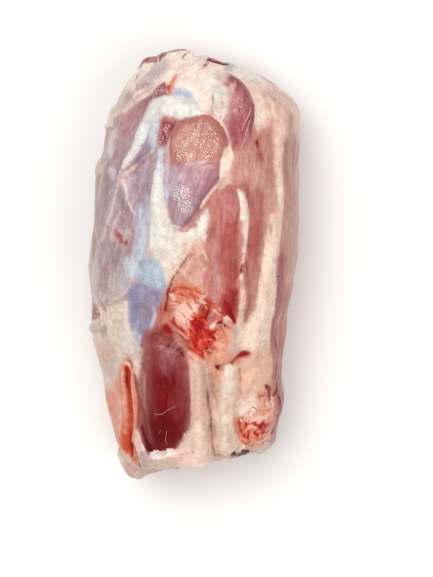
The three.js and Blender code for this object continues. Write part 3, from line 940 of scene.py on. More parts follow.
UPPER_OVAL = Region("upper oval muscle", (
    Patch(FLESH, "#bb8078", ((-14, 75), (-12, 81), (-8, 85), (4, 89), (14, 86), (19, 76), (19, 71),
        (14, 58), (13, 52), (5, 41), (-5, 25), (-8, 22), (-11, 23), (-14, 27), (-15, 34), (-16, 51)),
        soft=0.9, rough=0.5, lift=1.6, rounding=7, heading=20),
    Patch(FLESH, "#c88983", ((4, 88), (11, 87), (19, 73), (11, 57), (9, 64), (12, 72), (10, 81)), soft=1.8,
        heading=20),
    Patch(FILM, "#dba79c", ((1, 83), (11, 70), (4, 61), (-7, 60), (-12, 75)), cover=0.5, soft=3, rough=2),
    Patch(FILM, "#be93a0", ((-14, 58), (-6, 59), (7, 58), (13, 55), (11, 50), (-2, 30), (-10, 23),
        (-13, 28), (-15, 45)), cover=0.85, soft=2.5),
    Patch(FILM, "#b5adba", ((-14, 48), (-7, 51), (0, 35), (-6, 24), (-11, 22), (-14, 30)), cover=0.85,
        soft=3),
    Patch(FILM, "#cfc4ca", ((-15, 59), (-10, 59), (-6, 52), (-13, 41), (-16, 48)), cover=0.75, soft=2),
    # Painted shade: a dark purple line in the seam along the oval's lower right edge.
    Stroke(FLESH, "#8f687a", ((15, 59, 0.7), (14, 52.5, 1.2), (5.5, 41, 1.5), (2, 34.5, 1.5),
        (-5, 25.5, 1.8), (-8, 22.5, 1.2)), soft=0.8, rough=0.4, lift=-0.8),
    # Painted shade: a dark line in the seam along the lower left edge of the oval.
    Stroke(FLESH, "#8e7f8e", ((-14.5, 41, 0.7), (-14.5, 33.5, 0.9), (-13, 26, 0.9)), soft=0.7, cover=0.7,
        lift=-0.4),
    Stroke(FAT, "#e3cdc2", ((-12.5, 23.5, 1.2), (-9.5, 22.5, 1.5), (-6, 21.5, 0.9)), soft=0.7, lift=0.5),
    Stroke(FILM, "#c8cbdd", ((-16.5, 49.5, 1.8), (-16.5, 43.5, 2.4), (-17, 36, 1.2)), soft=1.2),
    Stroke(FAT, "#eed6ca", ((3, 91, 1.2), (9.5, 90.5, 1.8), (17, 83.5, 1.8), (20.5, 74, 1.8),
        (20.5, 68.5, 1.8)), lift=0.9, soft=0.9, rough=0.4),
    Stroke(FAT, "#dfc9c0", ((16.5, 52, 1.8), (7, 40.5, 1.8), (3.5, 35, 1.5)), lift=0.7, soft=0.8,
        rough=0.4),
    # Painted shade: a dark line in the seam along the upper left edge of the oval.
    Stroke(FLESH, "#9c6f68", ((-14, 77, 0.7), (-14.5, 70, 0.9), (-14, 62.5, 0.7)), soft=0.8, rough=0.4,
        lift=-0.5),
    # Painted glints: short pale strokes in wavy rows across the oval's top, with darker ones between.
    Streaks(FILM, ("#dcaca0", "#ecc9bc", "#b87a70"), 110, (1.5, 6), (0.8, 1.2), 78, 26, ((-13, 69),
        (-12, 76), (-8, 82), (-2, 86), (6, 87), (13, 84), (16, 77), (16, 67), (10, 59), (-2, 58),
        (-11, 60)), cover=0.5, seed=12),
    Streaks(FILM, ("#d8c7d0", "#a98093", "#9b7086"), 60, (5, 16), (0.7, 1.3), 25, 8, ((-14, 58), (-2, 57),
        (13, 59), (7, 46), (-2, 30), (-10, 24), (-14, 31)), cover=0.5, seed=13),
    # Painted glints: short near-white horizontal strokes.
    Streaks(FILM, ("#f6ecec", "#ecdcdf"), 22, (2, 9), (0.7, 1.1), 88, 5, ((-6, 64), (12, 64), (12, 54),
        (-6, 55)), cover=0.6, seed=33),
))

KIDNEY_MUSCLE = Region("kidney shaped muscle", (
    Patch(FLESH, "#b57a7c", ((19, 111), (24, 112), (28, 109), (34, 100), (35, 90), (33, 85), (31, 75),
        (25, 68), (22, 70), (19, 83), (21, 89), (20, 96), (21, 102)), soft=1.8, rough=1.4, lift=1.2,
        rounding=5, heading=6),
    Patch(FLESH, "#8b434c", ((19, 111), (25, 111), (28, 107), (25, 105), (21, 106)), soft=2, cover=0.8),
    # Painted shade: the right side of the kidney shaped muscle, darker where it rounds away.
    Patch(FLESH, "#994a53", ((28, 106), (34, 94), (32, 81), (29, 82), (29, 88), (31, 94)), soft=1.8,
        cover=0.85),
    # Painted highlight down the middle of the kidney shaped muscle.
    Patch(FLESH, "#c9958f", ((22, 102), (26, 102), (27, 90), (23, 88), (21, 94)), soft=2.4, rough=2,
        cover=0.75),
    Patch(FLESH, "#ab626a", ((21, 85), (27, 85), (29, 79), (26, 71), (22, 71)), soft=2, cover=0.8),
    # Painted shade: a dark line in the seam along the kidney shaped muscle's right edge.
    Stroke(FLESH, "#7c3840", ((35, 96.5, 0.7), (35, 90.5, 1.1), (33, 84.5, 1.1), (32, 77, 0.7)), soft=0.7,
        rough=0.4, lift=-0.6),
    Stroke(FILM, "#c9a3a6", ((18.5, 91.5, 1.2), (17.5, 85.5, 1.2), (19.5, 78.5, 1.5), (20.5, 72, 1.2)),
        soft=0.9, cover=0.8),
    Patch(FAT, "#f6ecdf", ((17, 69), (21, 69), (23, 64), (23, 59), (20, 54), (16, 51), (14, 57)), lift=0.9,
        soft=1.2),
    Patch(FAT, "#dcc3b4", ((17, 53), (22, 57), (26, 55), (25, 47), (15, 45)), soft=2.2, rough=1.4),
    Patch(BLOOD, "#d6a08c", ((34, 78), (39, 80), (42, 75), (41, 69), (36, 67), (33, 71)), cover=0.7,
        soft=2.4),
    Stroke(BLOOD, "#a3372c", ((36, 74.5, 0.9), (37.5, 69, 2), (38, 64, 1.2)), soft=0.8, rough=0.9),
    Patch(FLESH, "#a3433f", ((37, 69), (40, 67), (42, 61), (41, 58), (38, 59)), soft=1.8, cover=0.85),
    Patch(FLESH, "#c1958b", ((41, 81), (46, 81), (47, 69), (46, 52), (42, 53), (40, 69)), soft=3, rough=2,
        cover=0.8),
    Streaks(FLESH, ("#8a3d48", "#cf9490", "#98525a"), 44, (4, 14), (0.7, 1.3), 14, 12, ((19, 110),
        (26, 110), (33, 100), (34, 88), (30, 73), (24, 70), (21, 81), (23, 92)), cover=0.55, seed=14),
    Streaks(FAT, ("#fbf3e8", "#cfa595"), 26, (3, 10), (0.7, 1.3), 5, 12, ((11, 107), (19, 100), (18, 87),
        (23, 64), (17, 47), (14, 55), (17, 69), (11, 92)), cover=0.5, seed=15),
    Streaks(FAT, ("#e8c6be", "#f3ddd6"), 34, (1, 4), (0.6, 1.1), 20, 50, ((12, 113), (23, 112), (28, 104),
        (28, 88), (21, 84), (19, 94), (22, 101), (17, 108)), cover=0.5, seed=32),
    Patch(FAT, "#dccac4", ((10, 116), (17, 116), (20, 112), (17, 108), (11, 110)), soft=2.4, rough=2.2,
        cover=0.6),
    Stroke(FAT, "#d8bfba", ((21, 106, 3), (19.5, 84.5, 2.4)), soft=1.6, rough=1.4, cover=0.55),
))

RIGHT_BODY = Region("right of the middle", (
    Patch(FLESH, "#d6aea4", ((23, 63), (35, 66), (46, 51), (47, 42), (24, 46)), soft=4, rough=3),
    Patch(FLESH, "#b87a70", ((25, 49), (31, 52), (34, 48), (31, 44), (26, 45)), soft=2.2, rough=1.8,
        cover=0.8),
    Patch(FLESH, "#d6aa9d", ((41, 41), (48, 39), (49, 19), (42, 14), (40, 26)), soft=2.5, rough=2),
    Patch(FLESH, "#c9948c", ((42, 64), (47, 63), (48, 47), (43, 45), (40, 54)), soft=4, rough=2,
        cover=0.7),
    Stroke(FLESH, "#cb8a8a", ((20.5, 46, 4.8), (19.5, 38.5, 9), (19.5, 23, 10.2)), soft=3, rough=1.8,
        heading=6),
    Patch(FLESH, "#c07a70", ((14, 37), (14, 12), (10, 8), (7, 16), (8, 29)), soft=4, rough=2, heading=6),
    Stroke(FLESH, "#bd6c66", ((21, 23, 7.2), (20.5, 14.5, 9), (19.5, -3.5, 9.6)), soft=2.8, rough=1.8,
        heading=3),
    Stroke(FLESH, "#b45c54", ((20, -1, 9), (20.5, -9.5, 7.8), (20.5, -18, 7.8)), soft=2.5, rough=1.6,
        heading=2),
    Patch(FLESH, "#a03531", ((13, -18), (19, -13), (25, -16), (23, -34), (19, -34), (14, -29)), soft=2.2,
        rough=1.6),
    Patch(FLESH, "#c98c84", ((7, 13), (12, 16), (14, 5), (15, -20), (7, -19), (5, -2)), soft=4, rough=1.4,
        heading=4),
    Stroke(FILM, "#dfc0ba", ((12.5, 1, 1.8), (12.5, -9.5, 2.4), (11.5, -20, 2.4)), soft=1.6, cover=0.8),
    Patch(FLESH, "#cc8c84", ((5, -7), (10, -6), (10, -19), (6, -20)), soft=2, cover=0.8),
    Stroke(FLESH, "#c57f7a", ((37.5, 44.5, 5.4), (37.5, 38.5, 7.2), (36, 21.5, 7.8)), soft=2.6, rough=1.6,
        heading=3),
    Stroke(FLESH, "#bc7069", ((36, 24, 7.8), (35, 14.5, 8.4), (33, 5, 7.2), (32, -1, 5.4)), soft=2.4,
        rough=1.5, heading=3),
    Stroke(FLESH, "#c28a80", ((32, 2.5, 5.4), (32, -7, 4.8), (29.5, -33.5, 1.2)), soft=1.8, heading=3),
    Stroke(FLESH, "#9c6a60", ((30, 2.5, 0.7), (30, -5, 1.2), (30.5, -13, 0.9), (29.5, -32.5, 0.7)),
        soft=0.8, rough=0.6),
    Stroke(FLESH, "#a7666a", ((52, 5, 6), (49, -24, 9), (48, -39.5, 7.2)), soft=2.6),
    Stroke(FLESH, "#a06a62", ((59.5, 71.5, 1.8), (60, 59.5, 2.4), (59.5, 44.5, 1.8)), soft=1.8, cover=0.6),
    Stroke(FLESH, "#a8736b", ((55, 74.5, 1.8), (55, 62.5, 2.4), (55, 48, 1.2)), soft=1.8, cover=0.7),
    Stroke(FLESH, "#c4998b", ((58.5, 41, 2.4), (59, 26.5, 3), (58, 11.5, 2.4)), soft=2, cover=0.6),
    Stroke(FAT, "#ecd6c8", ((49.5, 91.5, 4.8), (50, 77.5, 6.6), (49.5, 62.5, 6.6), (50, 33.5, 5.4),
        (47, 9.5, 7.8)), lift=0.8, soft=3.2, rough=1.2),
    Patch(FAT, "#f2ded0", ((45, 30), (48, 25), (50, 10), (48, 0), (45, -40), (41, -49), (28, -49),
        (25, -39), (33, -30), (41, 11)), lift=0.6, soft=3.2, rough=1.4),
    Stroke(FAT, "#e6d0bf", ((27, -7, 3), (27, -17, 4.2), (26, -36, 4.8)), soft=2, cover=0.8),
    Stroke(FAT, "#edd9d0", ((25.5, 44.5, 1.8), (27.5, 39.5, 5.4), (28.5, 32.5, 6.6), (28.5, 15.5, 3),
        (27.5, 0, 1.4), (27, -7, 1.8)), lift=1.0, soft=2, rough=0.5),
    Stroke(FAT, "#f9eee4", ((27, 41, 2.4), (28.5, 33.5, 4.2), (28.5, 18, 1.2)), soft=1.8),
    Stroke(FAT, "#780e14", ((27.5, 0.5, 1.5), (27, -2, 2.2), (26.5, -3.5, 1.2)), soft=0.6, rough=0.3),
    Stroke(FLESH, "#9a5048", ((-2.5, 8.5, 0.7), (-13, -7, 0.8), (-15, -11.5, 1.1)), soft=0.5, rough=0.6,
        lift=-0.9),
    Stroke(BLOOD, "#8a3a30", ((46, 3, 1), (46, 2, 1)), soft=0.4, rough=0.2),
    Stroke(BLOOD, "#5c2a28", ((48.5, -6, 1), (49.5, -6.5, 1.1)), soft=0.4, rough=0.2),
    Streaks(FLESH, ("#ac5650", "#a04c48", "#d09a92", "#95585a"), 120, (5, 22), (0.7, 1.6), 4, 7, ((17, 45),
        (41, 47), (40, 11), (30, -34), (17, -35), (6, -22), (6, 17)), cover=0.4, seed=16),
    Streaks(FLESH, ("#bd8078", "#dfbab0", "#cf968a"), 70, (5, 20), (0.8, 1.8), 6, 9, ((18, 65), (41, 75),
        (48, 57), (49, 14), (41, 14), (39, 43), (19, 45)), cover=0.4, seed=17),
    Streaks(FLESH, ("#ab7268", "#d3a598", "#a3685e"), 80, (6, 24), (0.8, 1.8), 2, 6, ((53, 81), (63, 75),
        (65, 14), (55, -40), (54, -100), (47, -106), (46, -40), (52, 8)), cover=0.5, seed=18),
    Streaks(FAT, ("#dcb7a4", "#faeee2", "#e8c0ac"), 60, (6, 26), (0.8, 1.8), 5, 8, ((47, 81), (53, 81),
        (53, 14), (45, -40), (41, -75), (26, -75), (31, -33), (41, 14)), cover=0.45, seed=19),
    Streaks(FAT, ("#dd9f8c", "#f6e6d6", "#d18a76"), 50, (3, 12), (0.8, 1.6), -20, 30, ((-11, 17), (7, 24),
        (10, 8), (6, -22), (-8, -22), (-17, -12), (-12, 1)), cover=0.5, seed=20),
    Stroke(FLESH, "#8f4f44", ((56, -24.5, 1.2), (54, -46, 2.1), (52.5, -55.5, 1.8)), soft=1, rough=0.8),
    Stroke(FLESH, "#deb0a0", ((53, -24, 0.9), (51, -30, 1.5), (50, -35, 1.2)), soft=0.8, rough=0.6),
    Stroke(FLESH, "#c99c84", ((55.5, -55.5, 2.4), (56, -65, 3.6), (55.5, -76, 3.6), (54, -83, 2.4)),
        soft=1.4),
))

LEFT_BODY = Region("left of the middle", (
    Patch(FLESH, "#ab9ca0", ((-57, 63), (-49, 60), (-49, 29), (-53, 8), (-58, 1), (-58, 39)), soft=2),
    Patch(FAT, "#cbb5ad", ((-64, 64), (-58, 65), (-56, 60), (-57, 56), (-64, 55)), lift=1.0, rounding=2,
        soft=1.4),
    Stroke(FAT, "#a8917f", ((-59.5, 53, 3.6), (-62, 17.5, 4.2), (-62.5, 5.5, 3)), soft=2, cover=0.8),
    Patch(FLESH, "#af9fae", ((-35, 63), (-26, 64), (-25, 48), (-28, 37), (-35, 35), (-39, 53)), soft=1.8,
        heading=-10),
    Patch(FLESH, "#aa989c", ((-46, 47), (-37, 30), (-38, 22), (-45, 23), (-49, 29)), soft=1.8, rough=1.4),
    Patch(FLESH, "#aaa2a4", ((-51, 14), (-43, 12), (-41, 7), (-46, -1), (-51, 1)), soft=2),
    Patch(FLESH, "#b7a49c", ((-41, 17), (-36, 18), (-37, 8), (-41, 7)), soft=1.8),
    Stroke(FLESH, "#a99799", ((-52, 1, 3), (-53, -6, 3.6), (-53, -14.5, 3)), soft=1.8, cover=0.8),
    Stroke(FILM, "#c9bfc4", ((-44.5, 3.5, 2.4), (-46.5, -6, 3), (-48, -15.5, 1.8)), soft=1.8, cover=0.8),
    Patch(FILM, "#c3bfc0", ((-42, -2), (-36, -5), (-37, -12), (-43, -16), (-47, -13)), soft=2.5,
        cover=0.9),
    Stroke(FAT, "#eaefe9", ((-21, 59, 1.8), (-21.5, 50.5, 4.2), (-23, 38.5, 6), (-22.5, 25.5, 7.8),
        (-21.5, 14.5, 8.4), (-19.5, 7, 4.8)), lift=0.8, soft=1.8),
    Stroke(FILM, "#cde0ea", ((-21, 71, 3.6), (-21, 65, 4.2), (-21.5, 53, 1.8)), soft=1.6),
    Stroke(FILM, "#cfc6d0", ((-16.5, 68.5, 3), (-16.5, 59.5, 3.6), (-18, 52, 2.4)), soft=1.6),
    Stroke(FILM, "#b9b9ca", ((-17.5, 53, 2.4), (-17, 46, 3), (-17.5, 37.5, 1.8)), soft=1.6),
    Stroke(FILM, "#b4adb9", ((-28.5, 41, 3.6), (-29, 32.5, 3.6), (-29, 12, 2.4)), soft=1.8),
    Patch(FILM, "#b3c0d3", ((-34, 35), (-29, 35), (-28, 22), (-32, 4), (-36, 8), (-36, 22)), soft=1.8),
    # Painted highlight: a pale blue-white streak on the silverskin.
    Stroke(FILM, "#bfd8e6", ((-33, 17, 3), (-31.5, 11, 3.6), (-31.5, 5, 4.2)), soft=1.6, cover=0.9),
    Patch(FILM, "#cbdbdc", ((-42, 4), (-37, 6), (-33, 1), (-35, -6), (-40, -7)), soft=1.6),
    Patch(FILM, "#a9c8d8", ((-33, 0), (-28, 4), (-22, 2), (-19, -5), (-17, -13), (-20, -16), (-33, -12),
        (-34, -6)), soft=1.4, lift=-0.8),
    Patch(FILM, "#bcd3e4", ((-26, 0), (-22, 0), (-19, -10), (-20, -14), (-25, -12)), soft=2, cover=0.85),
    Patch(FILM, "#8d8aad", ((-38, -12), (-31, -11), (-25, -15), (-19, -16), (-20, -23), (-28, -25),
        (-37, -24), (-40, -19)), soft=1.6),
    Stroke(FILM, "#b08fa2", ((-23, -17, 1.8), (-19.5, -18, 2.4), (-21.5, -23.5, 3)), soft=1.6, cover=0.8),
    Patch(FILM, "#7b82a6", ((-40, -25), (-36, -23), (-29, -24), (-26, -28), (-29, -40), (-34, -42),
        (-37, -40), (-40, -34)), soft=1.6, lift=-0.6),
    Patch(FILM, "#867b94", ((-33, -24), (-28, -25), (-26, -30), (-28, -37), (-32, -36)), soft=2,
        cover=0.9),
    Patch(FILM, "#a9b3c1", ((-38, -39), (-33, -40), (-31, -45), (-34, -48), (-37, -43)), soft=1.6),
    # Painted highlight along the right rim of the deep blue hollow.
    Stroke(FILM, "#d0cfdf", ((-26.5, -24.5, 1.2), (-24.5, -28.5, 2.4), (-25.5, -33.5, 2.4),
        (-27, -38.5, 1.2)), soft=0.9, lift=0.4),
    Patch(FLESH, "#b97068", ((-22, -24), (-19, -23), (-19, -36), (-23, -40), (-25, -39)), soft=1.8),
    Stroke(FLESH, "#9c6484", ((-29, -38, 2.4), (-29.5, -42, 4.2), (-31.5, -46.5, 2.4)), soft=1.6,
        cover=0.85),
    # Painted highlight: a pale line along the left rim of the deep blue hollow.
    Stroke(FAT, "#dfe1db", ((-41, -21.5, 1.8), (-41.5, -29.5, 2.4), (-40.5, -36.5, 1.8), (-35, -46, 1.2)),
        soft=1, lift=0.6),
    Stroke(FLESH, "#b58d90", ((-49, 23, 2.4), (-46.5, 20, 3.6), (-41, 12.5, 3)), soft=1.8, rough=1.8,
        cover=0.8),
    Stroke(BLOOD, "#c99a98", ((-39, 24.5, 2.4), (-38, 21.5, 3)), cover=0.7, soft=2),
    Patch(FILM, "#d6cdd1", ((-49, 57), (-47, 58), (-45, 53), (-46, 50), (-48, 51)), soft=1, lift=0.6),
    Stroke(FAT, "#d3c7c8", ((-39, 68.5, 1.8), (-40.5, 62.5, 2.1), (-44, 50.5, 1.8)), lift=0.7, soft=1.2),
    Stroke(FAT, "#d6c0bb", ((-25.5, 69, 1.8), (-35, 59.5, 3.3), (-44.5, 48, 2.7)), lift=1.2, soft=1,
        rough=0.5),
    # Painted shade: a dark line beside the raised strand.
    Stroke(FLESH, "#a27f7b", ((-26, 65.5, 0.7), (-34.5, 56.5, 1.1), (-37.5, 52.5, 0.8)), soft=0.7,
        rough=0.4, lift=-0.5),
    Stroke(FAT, "#d0c0c3", ((-44.5, 48, 2.7), (-46, 43.5, 2.4), (-49.5, 24, 1.8), (-51, 18, 2.1),
        (-53, 12.5, 1.8), (-54, 6, 1.5)), lift=1.2, soft=0.9, rough=0.4),
    Stroke(FAT, "#e3cecb", ((-41.5, 50, 2.7), (-40, 44.5, 2.4), (-39, 38.5, 1.8), (-35.5, 30.5, 1.2)),
        lift=1.0, soft=0.9, rough=0.4),
    # Painted shadow: a dark line under the raised fold of skin.
    Stroke(FLESH, "#93837c", ((-49.5, -23.5, 0.7), (-46, -21, 1), (-42, -19.5, 1), (-39, -15.5, 0.7)),
        soft=0.6, rough=0.4, cover=0.8, lift=-0.4),
    Stroke(FAT, "#d5c9c3", ((-50.5, -22.5, 1.8), (-47, -20, 2.4), (-39, -13, 2.4), (-37.5, -8, 1.8)),
        lift=1.5, soft=0.9),
    Patch(FLESH, "#bb8c85", ((-56, -22), (-50, -21), (-49, -25), (-53, -28), (-56, -26)), soft=2, rough=1.6,
        cover=0.85),
    Patch(BLOOD, "#b07c74", ((-66, -24), (-60, -23), (-59, -31), (-66, -33)), soft=1.2, cover=0.9),
    Patch(FAT, "#c8bfb0", ((-67, -35), (-61, -34), (-58, -37), (-61, -40), (-67, -40)), lift=1.4,
        rounding=2, soft=1.2),
    Patch(FLESH, "#b59e92", ((-58, -36), (-52, -35), (-52, -41), (-57, -45), (-59, -41)), soft=2, rough=1.6,
        cover=0.8),
    Streaks(FLESH, ("#a28f96", "#b5a09c", "#a898a4"), 40, (8, 26), (0.8, 1.8), 10, 7, ((-57, 63), (-26, 63),
        (-28, 8), (-40, 1), (-58, -22), (-61, 14)), cover=0.45, seed=2),
    Streaks(FILM, ("#cfc4c9", "#bcbcca", "#d8cfcd"), 60, (6, 26), (0.7, 1.4), 12, 9, ((-57, 69), (-25, 65),
        (-26, 8), (-37, 2), (-46, -19), (-61, -22), (-61, 26)), cover=0.6, seed=3),
    # Short strokes on the silverskin; the palest are painted glints.
    Streaks(FILM, ("#e3f0f5", "#9db4c4", "#c3dbe6"), 30, (2, 7), (0.7, 1.4), 20, 40, ((-41, 5), (-29, 16),
        (-20, 0), (-19, -14), (-33, -13)), cover=0.6, seed=4),
    Streaks(FILM, ("#a5a1bd", "#7a7596", "#9a8299"), 30, (4, 12), (0.7, 1.5), 10, 18, ((-39, -13),
        (-20, -14), (-26, -39), (-36, -39)), cover=0.55, seed=5),
    Streaks(FAT, ("#efe8de", "#cfc0b4", "#e6dacd"), 40, (3, 12), (0.8, 1.8), 15, 25, ((-61, 1), (-46, -16),
        (-40, -22), (-41, -52), (-57, -58), (-61, -34)), cover=0.5, seed=6),
    Streaks(FAT, ("#a24c57", "#93404b", "#b4646c"), 34, (1, 3.5), (0.6, 1.2), -36, 14, ((-49, 23),
        (-46, 23), (-40, 14), (-41, 11), (-45, 14)), cover=0.75, fade=1, seed=37),
))

LOWER_LEFT = Region("thin end, left", (
    Patch(FAT, "#dfd6c8", ((-52, -25), (-42, -24), (-39, -41), (-39, -49), (-49, -49), (-53, -37)),
        soft=3),
    Patch(FAT, "#d5bcae", ((-63, -46), (-53, -45), (-49, -53), (-54, -69), (-60, -65)), soft=3),
    Patch(FILM, "#cbbfb0", ((-53, -57), (-46, -54), (-44, -64), (-46, -72), (-52, -73)), soft=2.6,
        cover=0.85),
    Stroke(FLESH, "#a5766a", ((-61, -48, 0.9), (-58.5, -55.5, 1.2), (-55, -72, 0.9)), soft=0.9, cover=0.8),
    Patch(FAT, "#da937d", ((-55, -75), (-49, -69), (-43, -61), (-43, -100), (-51, -106)), soft=3.5,
        rough=2.5),
    Patch(FAT, "#e6b6a0", ((-46, -81), (-43, -78), (-43, -100), (-45, -104), (-47, -94)), soft=2.5,
        rough=2),
    Stroke(FAT, "#c9806c", ((-54, -77, 3), (-49.5, -97, 3.6), (-46.5, -106, 3)), soft=2.4, rough=2,
        cover=0.8),
    Streaks(BLOOD, ("#c87260", "#cf7f68"), 30, (2, 8), (0.7, 1.4), 20, 40, ((-55, -70), (-46, -65),
        (-44, -106), (-49, -104)), cover=0.4, seed=21),
    Patch(FAT, "#cf6145", ((-45, -59), (-38, -58), (-36, -67), (-35, -81), (-37, -104), (-34, -116),
        (-41, -115), (-45, -105), (-44, -81)), soft=1.6, rough=0.9, lift=-0.4),
    Stroke(FAT, "#b83422", ((-42, -61.5, 3), (-41, -77, 3.6), (-41, -84.5, 3)), soft=1.8, rough=1),
    Stroke(FAT, "#c9502f", ((-39, -65, 3), (-38.5, -76, 3.6), (-40.5, -96.5, 3)), soft=1.6, rough=1),
    Stroke(FAT, "#ad140b", ((-41.5, -96.5, 1.8), (-41, -102.5, 3.6), (-40.5, -108.5, 3),
        (-38.5, -113, 1.8)), soft=1.4, rough=0.8, lift=-0.4),
    Stroke(FAT, "#8c0f08", ((-43.5, -61.5, 1.2), (-42, -70, 2.4), (-41, -74.5, 1.2)), soft=1, rough=0.8,
        lift=-0.4),
    Stroke(FAT, "#cf7050", ((-39, -109.5, 2.4), (-36.5, -113, 3.6), (-35, -116, 2.4)), soft=1.6, rough=1),
    Streaks(FAT, ("#b3261a", "#dc7a58"), 22, (5, 18), (0.7, 1.4), 0, 5, ((-44, -60), (-38, -59), (-36, -82),
        (-38, -112), (-41, -113), (-44, -100)), cover=0.5, seed=22),
    Stroke(FAT, "#f0bcab", ((-44.5, -59, 1.2), (-43.5, -85, 1.4), (-43.5, -97, 1.2)), soft=0.9, lift=0.8),
    Stroke(FAT, "#e9a088", ((-37.5, -61.5, 1.5), (-36, -82, 2.4), (-38, -101, 1.8)), lift=1.8, soft=0.9,
        rough=0.5),
    Stroke(FLESH, "#9c5040", ((-36, -64, 0.8), (-34, -79.5, 1.3), (-35.5, -95, 0.8)), soft=0.9, rough=0.4,
        lift=-0.3),
    Stroke(FAT, "#fdecd6", ((-43.5, -58.5, 1.5), (-41.5, -60, 2.4), (-39.5, -62, 1.5)), soft=0.6, rough=0.5,
        lift=0.9),
    Stroke(FAT, "#e6c9c4", ((-36, -95.5, 1.2), (-34, -100.5, 2.4), (-32.5, -106, 3), (-30, -111, 2.4)),
        soft=1, rough=1),
    Stroke(FAT, "#fbf3ea", ((-32, -104, 1.2), (-31, -106, 1.5)), soft=0.6, rough=0.4, lift=0.8),
    Stroke(BLOOD, "#9d7086", ((-34.5, -110, 1.2), (-33.5, -114, 2.4), (-33.5, -117, 1.8)), soft=1.2,
        cover=0.85),
))

LOWER_OVAL = Region("lower dark muscle", (
    Patch(FLESH, "#a8665e", ((-29, -41), (-22, -36), (-12, -40), (-6, -49), (-2, -82), (-11, -108),
        (-28, -111), (-34, -101), (-35, -81), (-33, -59)), soft=3, rough=1.6),
    Patch(FAT, "#bb7c70", ((-23, -37), (-13, -36), (-5, -43), (-4, -49), (-19, -43)), soft=2.6, rough=2,
        cover=0.8),
    Patch(FLESH, "#924548", ((-26, -48), (-16, -45), (-7, -57), (-4, -77), (-6, -96), (-10, -104),
        (-26, -111), (-32, -98), (-29, -77)), soft=2.6, rough=1, lift=1.2, rounding=6, heading=-3),
    Patch(FLESH, "#7e2629", ((-25, -69), (-18, -61), (-11, -65), (-7, -76), (-10, -100), (-25, -108)),
        soft=6, rough=1.5),
    Patch(FLESH, "#661317", ((-26, -90), (-18, -88), (-12, -93), (-13, -104), (-27, -106)), soft=6,
        rough=1.5, cover=0.85),
    Stroke(FLESH, "#5a1013", ((-33, -94, 0.9), (-29, -104.5, 2.1), (-26.5, -109, 1.2)), soft=1.4),
    # Painted sheen: a pale purple glow on the upper part of the dark muscle.
    Patch(FILM, "#a56b73", ((-20, -51), (-16, -50), (-13, -55), (-16, -63), (-20, -60)), soft=2.8,
        cover=0.6),
    Stroke(FLESH, "#651819", ((-20.5, -46, 0.8), (-13, -48, 1.7), (-9.5, -50.5, 1.4), (-7, -54, 0.8)),
        soft=0.8, rough=0.6, lift=-0.6),
    Stroke(FILM, "#d6a59d", ((-30.5, -65, 1.2), (-30.5, -73.5, 2.1), (-30.5, -83, 1.5)), soft=1.6,
        rough=1.6, cover=0.6),
    Streaks(FLESH, ("#661518", "#8f3b3e", "#782326"), 60, (5, 18), (0.8, 1.7), 0, 9, ((-26, -52),
        (-11, -53), (-5, -77), (-7, -99), (-22, -108), (-28, -105), (-29, -88)), cover=0.35, seed=24),
    Streaks(FILM, ("#c9908a", "#b9807a", "#dcb0a8"), 60, (3, 10), (0.5, 0.9), 62, 24, ((-28, -37),
        (-11, -37), (-4, -46), (-5, -59), (-17, -53), (-28, -57)), cover=0.55, seed=25),
    Streaks(FILM, ("#d3a098", "#c08880"), 36, (1, 3), (0.6, 1), 0, 40, ((-34, -61), (-28, -57), (-28, -82),
        (-31, -100), (-35, -88)), cover=0.5, seed=34),
    Patch(FLESH, "#8c3c3a", ((-28, -40), (-20, -37), (-13, -41), (-13, -46), (-20, -45), (-26, -48)),
        soft=2.6, rough=2, cover=0.8),
    Patch(FAT, "#f0d8ce", ((-7, -101), (-2, -96), (0, -106), (-4, -111), (-10, -108)), soft=2, rough=1.6,
        cover=0.8),
    Stroke(FAT, "#8a2422", ((-14.5, -11, 1), (-16.5, -15.5, 1.8), (-17, -20.5, 1.4), (-18, -24.5, 1.8),
        (-18, -27, 1)), soft=0.6, rough=0.7, lift=-0.6),
    Stroke(FAT, "#98302a", ((-16, -15, 1.2), (-14, -15.5, 1), (-11.5, -14, 0.7)), soft=0.5, rough=0.5),
    Patch(FAT, "#9c2824", ((-20, -36), (-17, -35), (-14, -39), (-14, -41), (-18, -40)), soft=1, rough=1.2),
    Stroke(FAT, "#a8302a", ((-14, -33, 1), (-11, -36, 1.7), (-7, -39, 1.4)), soft=0.7, rough=0.7),
    Stroke(FAT, "#9c2a22", ((-11.5, -39.5, 1), (-8, -42, 1.7), (-4, -45, 1.2)), soft=0.7, rough=0.7),
    Stroke(FAT, "#e9b09c", ((-12, -38, 0.8), (-8.5, -40.5, 1.3), (-5, -43.5, 1)), soft=0.8, rough=0.8),
))

